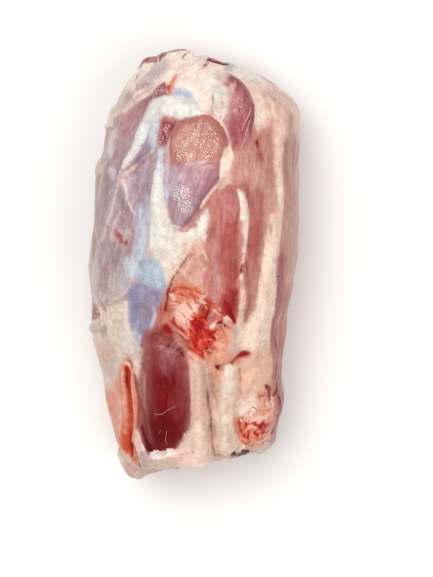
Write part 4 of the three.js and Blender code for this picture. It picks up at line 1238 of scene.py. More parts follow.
CENTRE = Region("bloody middle", (
    Patch(FAT, "#de937a", ((-16, -13), (-8, -10), (2, -13), (5, -19), (-2, -24), (-17, -26)), soft=3,
        rough=2),
    Patch(FAT, "#d97f63", ((-10, -12), (-4, -11), (2, -16), (-2, -19), (-10, -17)), soft=2.4, rough=1.6,
        cover=0.85),
    Patch(FAT, "#bd6a58", ((-19, -20), (-11, -20), (-10, -26), (-13, -33), (-19, -31)), soft=2.6, rough=2,
        cover=0.8),
    Patch(FAT, "#f3cbb6", ((-9, -23), (-1, -22), (1, -28), (-4, -42), (-10, -37), (-13, -30)), soft=2.4,
        rough=1.5, lift=0.8),
    Stroke(FAT, "#edc7b4", ((-14.5, -17, 2.4), (-12.5, -19.5, 3)), soft=0.9, lift=0.8),
    Patch(FAT, "#c67a69", ((-19, -33), (-12, -31), (-2, -46), (-10, -48), (-18, -42)), soft=3, rough=2),
    Patch(FAT, "#dd9480", ((10, -34), (17, -32), (22, -35), (22, -43), (16, -47), (9, -46)), soft=2.5,
        rough=1.6),
    Patch(FAT, "#d9997f", ((7, -47), (17, -45), (23, -49), (23, -57), (17, -64), (8, -65)), soft=3,
        rough=1.8),
    Patch(FAT, "#e8b3a0", ((-8, -48), (1, -52), (6, -57), (4, -61), (-5, -57)), soft=2.4, rough=1.5),
    Stroke(FAT, "#dc8d6f", ((19.5, -40.5, 2.4), (18.5, -44.5, 3), (17.5, -49, 2.4)), soft=1.5, cover=0.85),
    Stroke(FILM, "#bca194", ((23, -37.5, 2.4), (23, -43.5, 3), (21.5, -49.5, 2.4)), soft=1.8, cover=0.85),
    Stroke(FILM, "#c9b3b2", ((19.5, -52, 2.4), (23.5, -50, 3), (26.5, -49.5, 2.4)), soft=2, cover=0.85),
    Patch(FLESH, "#b04a36", ((4, -19), (10, -20), (12, -25), (7, -34), (3, -29)), soft=2, rough=1.8),
    Patch(FLESH, "#c46a60", ((10, -22), (14, -23), (14, -31), (10, -34)), soft=2, rough=1.5),
    Patch(FAT, "#d45a40", ((-2, -34), (4, -29), (10, -35), (12, -42), (7, -54), (3, -55), (-2, -48),
        (-7, -45)), soft=2.4, rough=2),
    Streaks(BLOOD, ("#c2402c", "#b03024", "#d4694e"), 60, (4, 14), (0.5, 1.2), -42, 24, ((-19, -22),
        (-13, -13), (2, -13), (11, -20), (20, -24), (20, -46), (7, -59), (-6, -52), (-18, -42)), cover=0.75,
        fade=2, seed=26),
    Streaks(FAT, ("#f4cdba", "#ecb49f"), 44, (2, 9), (0.6, 1.3), -38, 34, ((-16, -17), (2, -14), (19, -25),
        (20, -48), (8, -55), (-5, -48), (-14, -40)), cover=0.7, fade=2, seed=28),
    Patch(FAT, "#c01a10", ((-1, -34), (2, -31), (7, -33), (8, -37), (5, -40), (7, -45), (5, -50), (5, -55),
        (2, -52), (-2, -40)), soft=1.2, rough=2.6, lift=-0.5, cover=0.92),
    Patch(FAT, "#9e0805", ((0, -33), (4, -33), (5, -37), (3, -42), (1, -40)), soft=1.2, rough=1.2,
        lift=-0.4),
    Patch(FAT, "#a80f10", ((7, -39), (11, -40), (10, -45), (7, -46)), soft=1, rough=1),
    Stroke(FAT, "#b50f0a", ((-1, -41.5, 2.4), (0.5, -47, 3.6), (3, -52, 3.6), (5.5, -55.5, 1.8),
        (7, -60, 0.9)), soft=0.9, rough=1, lift=-0.4),
    Stroke(FAT, "#a31510", ((5.5, -33.5, 1.2), (7, -29, 1.8), (9, -21, 0.9)), soft=0.9, rough=0.8),
    Stroke(FAT, "#d9573c", ((3, -39.5, 1.8), (4, -44.5, 3), (5, -49.5, 1.8)), soft=1.2, rough=1.2),
    Streaks(FAT, ("#d8583c", "#e8907a", "#8a0806", "#a50d0a", "#c8301e"), 60, (3, 8), (0.6, 1.5), -32, 34,
        ((-4, -33), (2, -29), (11, -35), (12, -43), (8, -52), (7, -59), (2, -55), (-2, -49), (-5, -41)),
        cover=0.85, fade=2, seed=33),
    Streaks(FAT, ("#a8120e", "#b9281c", "#f6d8cc"), 26, (3, 8), (0.6, 1.3), -50, 26, ((7, -35), (13, -37),
        (16, -45), (11, -52), (7, -53), (7, -43)), cover=0.8, fade=2, seed=34),
    Stroke(FAT, "#c4412c", ((-9.5, -46, 1.2), (-5, -48, 2.4), (-0.5, -51, 1.8)), soft=1, rough=0.9),
    Stroke(FAT, "#c65340", ((-6.5, -52, 0.8), (-2.5, -55, 1.2), (5, -59, 0.8)), soft=0.8, rough=0.7),
    Stroke(FAT, "#a8231c", ((-3.5, -16.5, 1.1), (2, -19, 0.7)), soft=0.7, rough=0.7),
    Stroke(FAT, "#c4553c", ((-13, -14, 1), (-8.5, -12.5, 1.2), (-3, -14, 1.2), (0.5, -15.5, 0.8)), soft=0.8,
        rough=0.8),
    Patch(FAT, "#8c1a1e", ((16, -20), (20, -22), (22, -28), (23, -33), (19, -31)), soft=1, rough=1.2),
    Stroke(FAT, "#7a1018", ((12, -34, 1.5), (14.5, -33, 2), (16.5, -31.5, 1.4)), soft=0.7, rough=0.7),
    Stroke(FAT, "#f8e6dc", ((9, -36.5, 1.2), (11, -35, 2.1), (12, -33, 1.2)), soft=0.7, lift=0.7),
    Stroke(FAT, "#f0c8ba", ((16.5, -32, 1.2), (18, -30.5, 2.1), (20.5, -32.5, 1.2)), soft=0.7, lift=0.7),
    Stroke(FAT, "#d98c78", ((12, -61.5, 1.8), (18, -60, 3), (30, -53, 3)), soft=2, cover=0.7),
    Stroke(FAT, "#6a0604", ((12.5, -60, 1.6), (15.5, -60.5, 3.3), (19.5, -58.5, 2.8), (22.5, -57, 1.4)),
        soft=0.8, rough=0.6, lift=-0.8),
    Stroke(FAT, "#9c3a28", ((21, -57.5, 1.4), (23.5, -55.5, 1.8), (26, -54, 1.4)), soft=0.8, rough=0.5,
        lift=-0.4),
    Stroke(FAT, "#8c1c0e", ((25.5, -54, 1.8), (28.5, -52.5, 3.3), (31.5, -52, 1.6)), soft=0.8, rough=0.6),
))

LOWER_RIGHT = Region("thin end, tendons and ragged fat", (
    Stroke(FAT, "#e2c3b4", ((1, -59, 7.2), (2, -70, 9.6), (2, -82, 9), (2.5, -97, 10.2), (4, -112, 12),
        (5.5, -120.5, 10.8)), soft=1.8, lift=0.8),
    Stroke(FAT, "#edd8cc", ((1, -94, 4.8), (2.5, -103.5, 7.8), (3.5, -115.5, 9.6)), soft=2.6, cover=0.85),
    Stroke(FAT, "#ecdfd1", ((19.5, -61.5, 7.8), (18, -88, 9.6), (18.5, -101, 11.4), (19.5, -111, 10.8)),
        soft=1.8, lift=0.8),
    Stroke(FAT, "#e6dfce", ((17, -79.5, 3), (17, -91, 3.6), (17, -101, 2.4)), soft=2.2, cover=0.8),
    # Painted shade: mauve shading in the groove between the two tendons.
    Stroke(FLESH, "#a0766c", ((9.5, -67.5, 4.2), (10, -77, 6), (11, -88, 5.4), (11.5, -100, 3)), soft=2.4,
        cover=0.85),
    # Painted shade: a dark line along the bottom of the groove between the tendons.
    Stroke(FLESH, "#946a68", ((8, -71, 1.2), (9, -86.5, 3.6), (10, -103, 1.8), (12, -117.5, 1.2)), soft=1.6,
        rough=0.5, lift=-0.6),
    Stroke(BLOOD, "#e0a290", ((26, -61.5, 1.8), (27, -70, 2.4), (26.5, -78.5, 1.8), (24.5, -86.5, 1.2)),
        soft=1.8, cover=0.8),
    Patch(FAT, "#ebc7af", ((29, -63), (38, -61), (40, -73), (37, -79), (30, -79)), soft=2.4, lift=0.6),
    Patch(FAT, "#f2e3d9", ((25, -81), (36, -79), (38, -85), (35, -93), (28, -94), (25, -88)), soft=1.8,
        lift=0.6),
    Patch(FAT, "#eaa888", ((37, -84), (45, -82), (46, -89), (45, -96), (37, -94)), soft=1.6),
    Patch(FAT, "#e3a78b", ((34, -101), (45, -100), (46, -107), (40, -112), (33, -110)), soft=1.6,
        rough=1.2),
    Patch(FAT, "#d2583c", ((23, -93), (32, -94), (34, -100), (33, -107), (29, -107), (24, -99)), soft=1.8,
        rough=1.6),
    Stroke(FAT, "#a82c18", ((26, -94.5, 0.7), (27, -99.5, 1.2), (29.5, -104.5, 1.3), (32, -106.5, 1.5)),
        soft=0.7, rough=0.7),
    Stroke(FAT, "#9a2012", ((29.5, -95, 0.6), (32, -103, 1.1), (32, -106.5, 1.5)), soft=0.6, rough=0.6),
    Patch(FAT, "#d8745c", ((33, -94), (41, -92), (45, -98), (43, -104), (35, -104)), soft=2, rough=1.6,
        cover=0.85),
    Patch(FAT, "#b01a10", ((34, -97), (37, -97), (39, -95), (40, -98), (44, -99), (43, -101), (40, -101),
        (36, -102)), soft=1, rough=1.4),
    Stroke(BLOOD, "#8a0f0c", ((33.5, -97.5, 0.7), (36.5, -99.5, 1.3), (41, -100.5, 1.2), (44, -99.5, 0.7)),
        soft=0.5, rough=0.7),
    Patch(FAT, "#d4695c", ((38, -78), (46, -73), (47, -89), (43, -82), (39, -83)), soft=2, rough=1.6,
        cover=0.75),
    Stroke(FAT, "#8c0f10", ((38, -80.5, 1.8), (40, -80, 2.2), (40.5, -83.5, 1.3), (41, -86.5, 1)), soft=0.8,
        rough=0.9),
    Stroke(FAT, "#8a0a0a", ((42, -72, 1.2), (43.5, -74.5, 1.8), (45.5, -75, 2.2), (44, -78.5, 1.8),
        (45, -82, 2.3)), soft=0.8, rough=0.9),
    Stroke(BLOOD, "#a8352c", ((41, -86.5, 0.6), (42.5, -90, 0.8), (45, -88, 0.7), (46.5, -83.5, 0.6)),
        soft=0.4, rough=0.3),
    Stroke(FLESH, "#c68c80", ((52.5, -39.5, 3), (53, -70, 3), (53, -82, 2.4)), soft=1.4, cover=0.7),
    Stroke(FLESH, "#8e3f36", ((47.5, -41, 1.2), (48, -47.5, 1.8), (49, -53, 1.2)), soft=0.8, rough=0.8),
    Stroke(FLESH, "#7a1f1c", ((48, -60, 1.2), (47.5, -64.5, 2), (48, -68.5, 1.3), (49.5, -73.5, 2.4),
        (49, -78.5, 2.6), (48, -80.5, 1.2)), soft=0.7, rough=0.9),
    Stroke(FLESH, "#8c2f28", ((52, -60, 1), (51, -65, 1.7), (50, -69, 1.2)), soft=0.7, rough=0.8),
    Stroke(FLESH, "#7e1c1e", ((50.5, -80.5, 1.4), (51, -85.5, 3), (51, -90.5, 2), (49.5, -96.5, 1.8)),
        soft=0.9, rough=0.9),
    Stroke(FAT, "#920d14", ((49.5, -97.5, 2.4), (49, -102.5, 4.2), (47.5, -106.5, 3.6)), soft=1,
        rough=0.9),
    Patch(BLOOD, "#c67e6c", ((40, -107), (47, -106), (48, -110), (42, -111)), soft=1.4, cover=0.8),
    Patch(FAT, "#d2c0b0", ((-46, -110), (-42, -113), (-36, -118), (-28, -122), (-26, -126), (-31, -137),
        (-45, -136), (-48, -124)), lift=1.2, soft=1.4),
    Patch(FAT, "#d3a29d", ((-43, -116), (-36, -117), (-35, -120), (-42, -120)), soft=1.6, cover=0.7),
    Patch(FAT, "#cfc8b4", ((-43, -120), (-39, -122), (-39, -126), (-42, -126)), soft=1.8, cover=0.8),
    # Painted shade in the fold above the lump of fat at the corner.
    Patch(FILM, "#b7a5a2", ((-33, -111), (-26, -113), (-25, -118), (-31, -119)), soft=1.6, cover=0.9),
    Patch(FAT, "#ebe2dc", ((-28, -113), (-24, -110), (-20, -111), (-16, -109), (-10, -110), (-5, -107),
        (-2, -111), (-8, -115), (-16, -114), (-22, -117), (-27, -116)), lift=0.6, soft=2.2, rough=2.6,
        cover=0.9),
    Stroke(FAT, "#f8f3ee", ((-25.5, -112, 1.2), (-20.5, -112.5, 2.4), (-15.5, -111.5, 2.1),
        (-11, -111.5, 1.2)), lift=0.4, soft=1, rough=1.2),
    Patch(FAT, "#d9c6b6", ((-26, -117), (-11, -117), (-2, -119), (-2, -125), (-26, -126)), soft=1.6),
    # Painted shadow: a tan line across the band of fat along the rim.
    Stroke(FLESH, "#bda38d", ((-15.5, -120.5, 0.9), (-11, -120, 1.5), (-6, -119.5, 0.9)), soft=1,
        cover=0.8),
    Patch(FAT, "#fcded4", ((-11, -111), (2, -110), (5, -119), (-8, -120)), soft=1.6),
    Stroke(BLOOD, "#dcaca4", ((-13, -111.5, 0.6), (-7, -111, 0.8), (-1, -109.5, 0.6)), soft=0.6,
        cover=0.7),
    # Painted shade: the dark inside of a narrow slit, sunk a little into the fat.
    Stroke(FLESH, "#7d4a44", ((-4, -121, 1.1), (0, -121.5, 1.1)), soft=0.5, rough=0.3, lift=-0.8),
    Stroke(FLESH, "#8f6156", ((12.5, -117.5, 0.9), (16.5, -116, 1.5), (21.5, -114.5, 1.2)), soft=0.7,
        rough=0.5, lift=-0.8),
    Patch(FLESH, "#6f423d", ((22, -114), (23, -111), (25, -113), (34, -113), (35, -116), (28, -118),
        (22, -117)), soft=0.7, rough=0.6, lift=-1.8, rounding=2),
    Patch(FAT, "#faefdc", ((24, -113), (25, -110), (28, -108), (30, -109), (26, -114)), soft=0.6, rough=0.6,
        lift=2.0, rounding=2),
    Patch(FILM, "#cbb9a9", ((35, -112), (37, -110), (41, -111), (43, -113), (42, -116), (37, -117),
        (35, -116)), soft=0.9, lift=1.2),
    Streaks(FAT, ("#f2dfcf", "#c9a796", "#dfc1af"), 80, (8, 30), (0.8, 1.9), 0, 4, ((-2, -55), (28, -55),
        (31, -110), (-1, -119)), cover=0.45, seed=29),
    Streaks(BLOOD, ("#c8452f", "#d4593f", "#8c120e"), 30, (3, 9), (0.5, 1.2), 24, 34, ((24, -94), (34, -87),
        (41, -73), (48, -72), (50, -89), (47, -107), (31, -108)), cover=0.7, fade=2, seed=30),
    Streaks(FAT, ("#f6d9c8", "#f0bca4"), 60, (3, 9), (0.8, 1.8), 30, 34, ((25, -87), (41, -75), (49, -79),
        (47, -106), (31, -106)), cover=0.75, fade=2, seed=31),
    Stroke(FAT, "#8a0a0a", ((42, -73, 1.2), (43.5, -74.5, 2), (44.5, -77, 1.6), (45, -80.5, 2.2),
        (44, -83, 1.2)), soft=0.8, rough=0.9),
    Stroke(FAT, "#98120c", ((34.5, -97.5, 1), (37.5, -99.5, 1.8), (39.5, -98, 1.3), (42, -100, 1.8),
        (44.5, -98.5, 1)), soft=0.8, rough=0.9),
    Stroke(FAT, "#a01c10", ((35, -102.5, 0.8), (38, -101, 1.3), (41, -101.5, 0.8)), soft=0.7, rough=0.7),
    Stroke(FAT, "#a01418", ((49, -94, 1.8), (49.5, -100, 2.4), (47.5, -106.5, 2.4)), soft=1, rough=1.2,
        cover=0.9),
    Stroke(FAT, "#c8553f", ((43.5, -103.5, 1.8), (46, -98.5, 2.4), (47, -91.5, 1.8)), soft=1.2, rough=1.2,
        cover=0.8),
    Stroke(FLESH, "#6e1416", ((52.5, -79.5, 1.2), (52.5, -84.5, 2), (52, -89, 1.4)), soft=0.7, rough=0.8),
))

REGIONS = (GROUND, LEFT_BODY, THICK_END, UPPER_OVAL, KIDNEY_MUSCLE, RIGHT_BODY, CENTRE, LOWER_OVAL,
           LOWER_LEFT, LOWER_RIGHT)


# ---------------------------------------------------------------------------------------
# Sides, underside and cut ends, which the layers don't reach
# ---------------------------------------------------------------------------------------

@dataclass(frozen=True)
class HiddenSide:
    """The sides and the underside: long bellies of muscle, with fat in the seams between.

    Attributes:
        tints: Colours of the bellies, from the top round by +X.
        film, fat, stain: Colours of the silverskin, of the seams and of the blood stains.
        twist: Turn of the bellies along the shank, in radians for each mm.
        seam_depth: How far the seams sink.
        seam_sharpness: Below 1 the bellies are full and the seams are narrow.
        seam_edge: Closeness to a seam at which its fat starts and is full.
        seam_size, seam_raggedness: Size and strength of what makes that edge uneven.
        shade_size, shade_range: Size and strength of the bellies' lighter and darker parts.
        film_size, film_range: Size of the scraps of silverskin; their middling and most cover.
        stain_size, stain_edge: Size of the stains; unevenness at which they start and are full.
        stain_at_seams, stain_cover: How much a seam helps them on, and what they hide.
    """

    tints: tuple[str, ...] = ("#c08a80", "#b88378", "#b0756e", "#b07e7a", "#b19090", "#ad9698",
                              "#ab9a9c", "#b3a3a0", "#ad9c9d")
    film: str = "#cbbcc0"
    fat: str = "#e2cbbc"
    stain: str = "#a5504a"
    twist: float = 0.006
    seam_depth: float = 2.6
    seam_sharpness: float = 0.45
    seam_edge: tuple[float, float] = (0.42, 0.72)
    seam_size: float = 13.0
    seam_raggedness: float = 0.16
    shade_size: float = 22.0
    shade_range: float = 0.07
    film_size: float = 26.0
    film_range: tuple[float, float] = (0.34, 0.8)
    stain_size: float = 9.0
    stain_edge: tuple[float, float] = (1.0, 1.3)
    stain_at_seams: float = 0.15
    stain_cover: float = 0.6

    def phase(self, skin: Skin) -> np.ndarray:
        """A number that grows by pi from each seam to the next."""
        return (0.5 * len(self.tints) * (skin.angle + self.twist * skin.places[:, :, 1])).ravel()

    def closeness(self, skin: Skin) -> np.ndarray:
        """1 on a seam, and near 0 on the belly of a muscle."""
        return 1.0 - np.abs(np.sin(self.phase(skin))) ** self.seam_sharpness

    def lay(self, canvas: Canvas) -> None:
        """Lays flesh, the fat of the seams, scraps of film and blood stains.

        Args:
            canvas: What they are laid on.
        """
        skin, points = canvas.skin, canvas.points
        belly = np.floor(self.phase(skin) / np.pi).astype(int) % len(self.tints)
        flesh = np.array([srgb(code) for code in self.tints])[belly]
        shade = 1.0 + self.shade_range * layered_unevenness(points, self.shade_size, Seed.BELLIES)
        canvas.lay_mask(Tissue.FLESH, flesh * shade[:, None], np.ones(len(points)))
        close, lower = self.closeness(skin), 1.0 - skin.upper.ravel()
        middling, most = self.film_range
        film = np.clip(middling * (1.0 + layered_unevenness(points, self.film_size, Seed.SIDE_FILM)),
                       0.0, most)
        canvas.lay_mask(Tissue.FILM, srgb(self.film), film * lower)
        ragged = self.seam_raggedness * layered_unevenness(points, self.seam_size, Seed.SEAMS)
        canvas.lay_mask(Tissue.FAT, srgb(self.fat), smooth_step(*self.seam_edge, close + ragged) * lower)
        stains = layered_unevenness(points, self.stain_size, Seed.STAINS) + self.stain_at_seams * close
        canvas.lay_mask(Tissue.BLOOD, srgb(self.stain),
                        self.stain_cover * smooth_step(*self.stain_edge, stains) * lower)
        canvas.rise -= self.seam_depth * close * lower * (1.0 - skin.face.ravel())


SCATTER_STEP, SCATTER_SPAN = 12.9898, 43758.5453  # give each bundle's number its own share


@dataclass(frozen=True)
class CutEnd:
    """A cut across the shank: bundles of muscle and tendon that swell out of their seams.

    Attributes:
        bundles: Their middles, as (x, z).
        tendons: Which of them are tendons, by number.
        fat_width: Width of the fat between two bundles.
        bundle_swell: How far a bundle stands out of its seams.
        seam_reach: Distance over which it rises.
        flesh, pale_flesh: Colours of the muscle and of its paler grain.
        fat, tendon, blood: Colours of what else the cut shows.
        ragged_size, raggedness: Size and strength of what makes the bundles uneven.
        grain_size, wet_size: Sizes of the grain and of the bloody places.
        shade_range: How much the bundles differ in lightness.
        tendon_edge, grain_edge, wet_edge: Where each of them starts and is full: distance
            from a seam for tendon, unevenness for the others.
        grain_cover, wet_cover, fat_cover: How much each of them hides.
        fat_edge: Where the fat starts to end and has ended, beyond half its width.
        fat_raggedness: How far the canvas's wander and the grain move that edge.
    """

    bundles: tuple[Place, ...]
    tendons: tuple[int, ...]
    fat_width: float = 2.2
    bundle_swell: float = 3.0
    seam_reach: float = 14.0
    flesh: str = "#a8645d"
    pale_flesh: str = "#cf9f95"
    fat: str = "#e3c8b8"
    tendon: str = "#e6d9cb"
    blood: str = "#8f2420"
    ragged_size: float = 8.0
    raggedness: float = 1.6
    grain_size: float = 5.0
    wet_size: float = 12.0
    shade_range: float = 0.16
    tendon_edge: tuple[float, float] = (1.0, 3.0)
    grain_edge: tuple[float, float] = (-0.1, 0.8)
    grain_cover: float = 0.6
    wet_edge: tuple[float, float] = (0.7, 1.0)
    wet_cover: float = 0.55
    fat_edge: tuple[float, float] = (-1.4, 1.8)
    fat_cover: float = 0.85
    fat_raggedness: tuple[float, float] = (1.2, 0.8)

    def lay(self, canvas: Canvas, mask: np.ndarray) -> None:
        """Lays the bundles, the fat between them and what makes them uneven.

        Args:
            canvas: What they are laid on.
            mask: Where the cut is, from 0 to 1 for each point.
        """
        points = canvas.points
        ragged = points[:, [0, 2]] + self.raggedness * np.stack(
            [unevenness(points, self.ragged_size, Seed.BUNDLES + axis) for axis in (0, 1)], axis=1)
        away = np.linalg.norm(ragged[:, None, :] - np.array(self.bundles), axis=2)
        nearest = np.argmin(away, axis=1)
        ordered = np.sort(away, axis=1)
        gap = ordered[:, 1] - ordered[:, 0]
        scattered = np.sin(nearest * SCATTER_STEP) * SCATTER_SPAN
        shade = (1.0 + self.shade_range * (scattered - np.floor(scattered) - 0.5))[:, None]
        canvas.lay_mask(Tissue.FLESH, srgb(self.flesh) * shade, mask)
        canvas.lay_mask(Tissue.FAT, srgb(self.tendon) * shade,
                        mask * np.isin(nearest, self.tendons) * smooth_step(*self.tendon_edge, gap))
        grain = layered_unevenness(points, self.grain_size, Seed.CUT_GRAIN)
        canvas.lay_mask(Tissue.FLESH, srgb(self.pale_flesh),
                        self.grain_cover * mask * smooth_step(*self.grain_edge, grain))
        by_wander, by_grain = self.fat_raggedness
        beyond = gap + by_wander * canvas.wander + by_grain * grain - self.fat_width
        canvas.lay_mask(Tissue.FAT, srgb(self.fat),
                        self.fat_cover * mask * (1.0 - smooth_step(*self.fat_edge, beyond)))
        wet = layered_unevenness(points, self.wet_size, Seed.WET_PLACES)
        canvas.lay_mask(Tissue.BLOOD, srgb(self.blood),
                        self.wet_cover * mask * smooth_step(*self.wet_edge, wet))
        canvas.rise += mask * self.bundle_swell * smooth_step(0.0, self.seam_reach, gap)


THIN_END = CutEnd(
    bundles=((-30, 24), (-29, 50), (-8, 18), (-6, 42), (-5, 62), (14, 30), (16, 54), (34, 24), (34, 46)),
    tendons=(4, 5, 6), bundle_swell=1.0)
THICK_CUT = CutEnd(
    bundles=((-38, 30), (-36, 54), (-14, 20), (-12, 44), (-8, 66), (12, 30), (14, 54), (36, 26), (38, 50)),
    tendons=(), fat_width=1.2, bundle_swell=1.2, flesh="#91504b")


# ---------------------------------------------------------------------------------------
# Swellings and hollows
# ---------------------------------------------------------------------------------------

@dataclass(frozen=True)
class Fold:
    """A ridge along a line of places, or a groove where its lift is below 0.

    Attributes:
        line: The places.
        reach: How far it reaches to either side.
        lift: How far it stands out.
    """

    line: tuple[Place, ...]
    reach: float
    lift: float


OVAL_FULLNESS = 1.4  # above 1 the top of an oval is flatter
OVAL_SEAM_WIDTH = 0.16  # as a share of the way from its middle to its rim


@dataclass(frozen=True)
class Oval:
    """A muscle that bulges as an oval, or a hollow where its lift is below 0.

    Attributes:
        at: Its middle.
        long: Half its length.
        wide: Half its width.
        lean: Turn of its long axis from +Y towards +X, in degrees.
        lift: How far it stands out.
        seam: Depth of the groove round it.
    """

    at: Place
    long: float
    wide: float
    lean: float
    lift: float
    seam: float

    def relief(self, points: np.ndarray) -> np.ndarray:
        """How far each point of the bare form is moved out.

        Args:
            points: The points, one row each.

        Returns:
            One distance for each point, in millimetres.
        """
        lean = math.radians(self.lean)
        dx, dy = points[:, 0] - self.at[0], points[:, 1] - self.at[1]
        along = (dx * math.sin(lean) + dy * math.cos(lean)) / self.long
        aside = (dx * math.cos(lean) - dy * math.sin(lean)) / self.wide
        out = np.hypot(along, aside)
        return (self.lift * swell(out ** OVAL_FULLNESS, 1.0)
                - self.seam * np.exp(-((out - 1.0) / OVAL_SEAM_WIDTH) ** 2))


FOLDS = {
    "kidney shaped muscle": Fold(((19, 111), (30, 99), (29, 84), (27, 73)), 9, 2.4),
    "arched tendon": Fold(((-3, 95), (-21, 92), (-33, 78), (-42, 55), (-50, 25), (-54, 1)), 6, 2.2),
    "branch strand": Fold(((-27, 66), (-39, 54), (-41, 46), (-37, 33)), 5, 1.4),
    "left belly": Fold(((-46, 74), (-53, 44), (-56, 14), (-56, -12)), 15, 2.4),
    "fat column": Fold(((-21, 67), (-23, 38), (-17, 11)), 9, 1.8),
    "fold of skin": Fold(((-52, -22), (-44, -20), (-38, -14), (-36, -8)), 5.5, 1.8),
    "flap": Fold(((1, 8), (-5, -1), (-10, -12), (-13, -24)), 6, 1.8),
    "outer band": Fold(((47, 98), (50, 44), (43, 1), (35, -48), (32, -72)), 7, 1.8),
    "narrow tendon": Fold(((27, 45), (29, 14), (27, -22), (22, -50)), 5, 1.4),
    "inner red belly": Fold(((21, 42), (19, 8), (18, -30)), 9, 1.8),
    "outer red belly": Fold(((37, 43), (35, 14), (31, -22)), 7, 1.5),
    "left tendon": Fold(((0, -64), (0, -82), (1, -100), (3, -116)), 10, 3.4),
    "right tendon": Fold(((20, -60), (19, -84), (19, -100), (20, -112)), 9, 3.0),
    "rim beside the blood strip": Fold(((-38, -64), (-36, -82), (-36, -100)), 5.5, 1.2),
    "fold of fat on the cut rim": Fold(((-28, -116), (-14, -118), (-2, -117)), 7, 2.2),
    "cut edge of the thick end": Fold(((-33, 117), (-18, 124), (-4, 127)), 5, 1.8),
    "right of the upper oval": Fold(((12, 89), (21, 73), (15, 57), (3, 35)), 5.5, -1.6),
    "beside the kidney muscle": Fold(((11, 117), (10, 104), (12, 92)), 5.5, -1.0),
    "cut below the skin flap": Fold(((-5, 7), (-12, -4), (-17, -16), (-18, -28)), 5, -2.0),
    "between the tendons": Fold(((9, -68), (10, -84), (10, -99), (12, -117)), 7, -3.0),
    "blood strip": Fold(((-42, -57), (-41, -70), (-41, -84), (-41, -106)), 6.5, -3.0),
    "blood crease": Fold(((7, -33), (1, -44), (5, -57)), 5, -2.0),
    "crossing crease": Fold(((-18, -40), (-6, -49), (7, -61)), 5, -1.6),
    "slash": Fold(((14, -60), (22, -57), (30, -52)), 4.5, -1.2),
    "outer hollow": Fold(((50, 8), (52, -22), (50, -52), (48, -80)), 9, -0.5),
    "slot in the thick end": Fold(((8, 124), (14, 123), (20, 121)), 6, -3.0),
    "mouth under the fat chip": Fold(((22, -115), (29, -115), (35, -114)), 6, -2.6),
}

OVALS = {
    "upper oval muscle": Oval((1.5, 56.5), 35, 16.5, 20, 3.0, 1.2),
    "lower dark muscle": Oval((-17.5, -77), 35, 15.5, 3, 3.4, 1.4),
    "hollow under the blue skin": Oval((-28, -20), 30, 11, 13, -3.2, 0),
    "fat over the thick end": Oval((6, 107), 20, 16, 15, 2.4, 0),
    "small muscle of the left shoulder": Oval((-40, 100), 18, 10, 35, 1.8, 0.8),
    "fat of the right shoulder": Oval((48, 92), 20, 12, -30, 2.2, 0.8),
    "bloody cut in the middle": Oval((4, -44), 13, 9, 10, 1.6, 0.6),
    "ragged fat of the thin end": Oval((39, -88), 20, 10, 5, 1.8, 0.5),
}


@dataclass(frozen=True)
class RimLump:
    """A stretch of an end's uneven rim that hangs out towards -Y.

    Attributes:
        at: Its middle.
        radius: How far it reaches.
        hang: How far it hangs out.
    """

    at: Place
    radius: float
    hang: float


# ---------------------------------------------------------------------------------------
# The meat itself
# ---------------------------------------------------------------------------------------

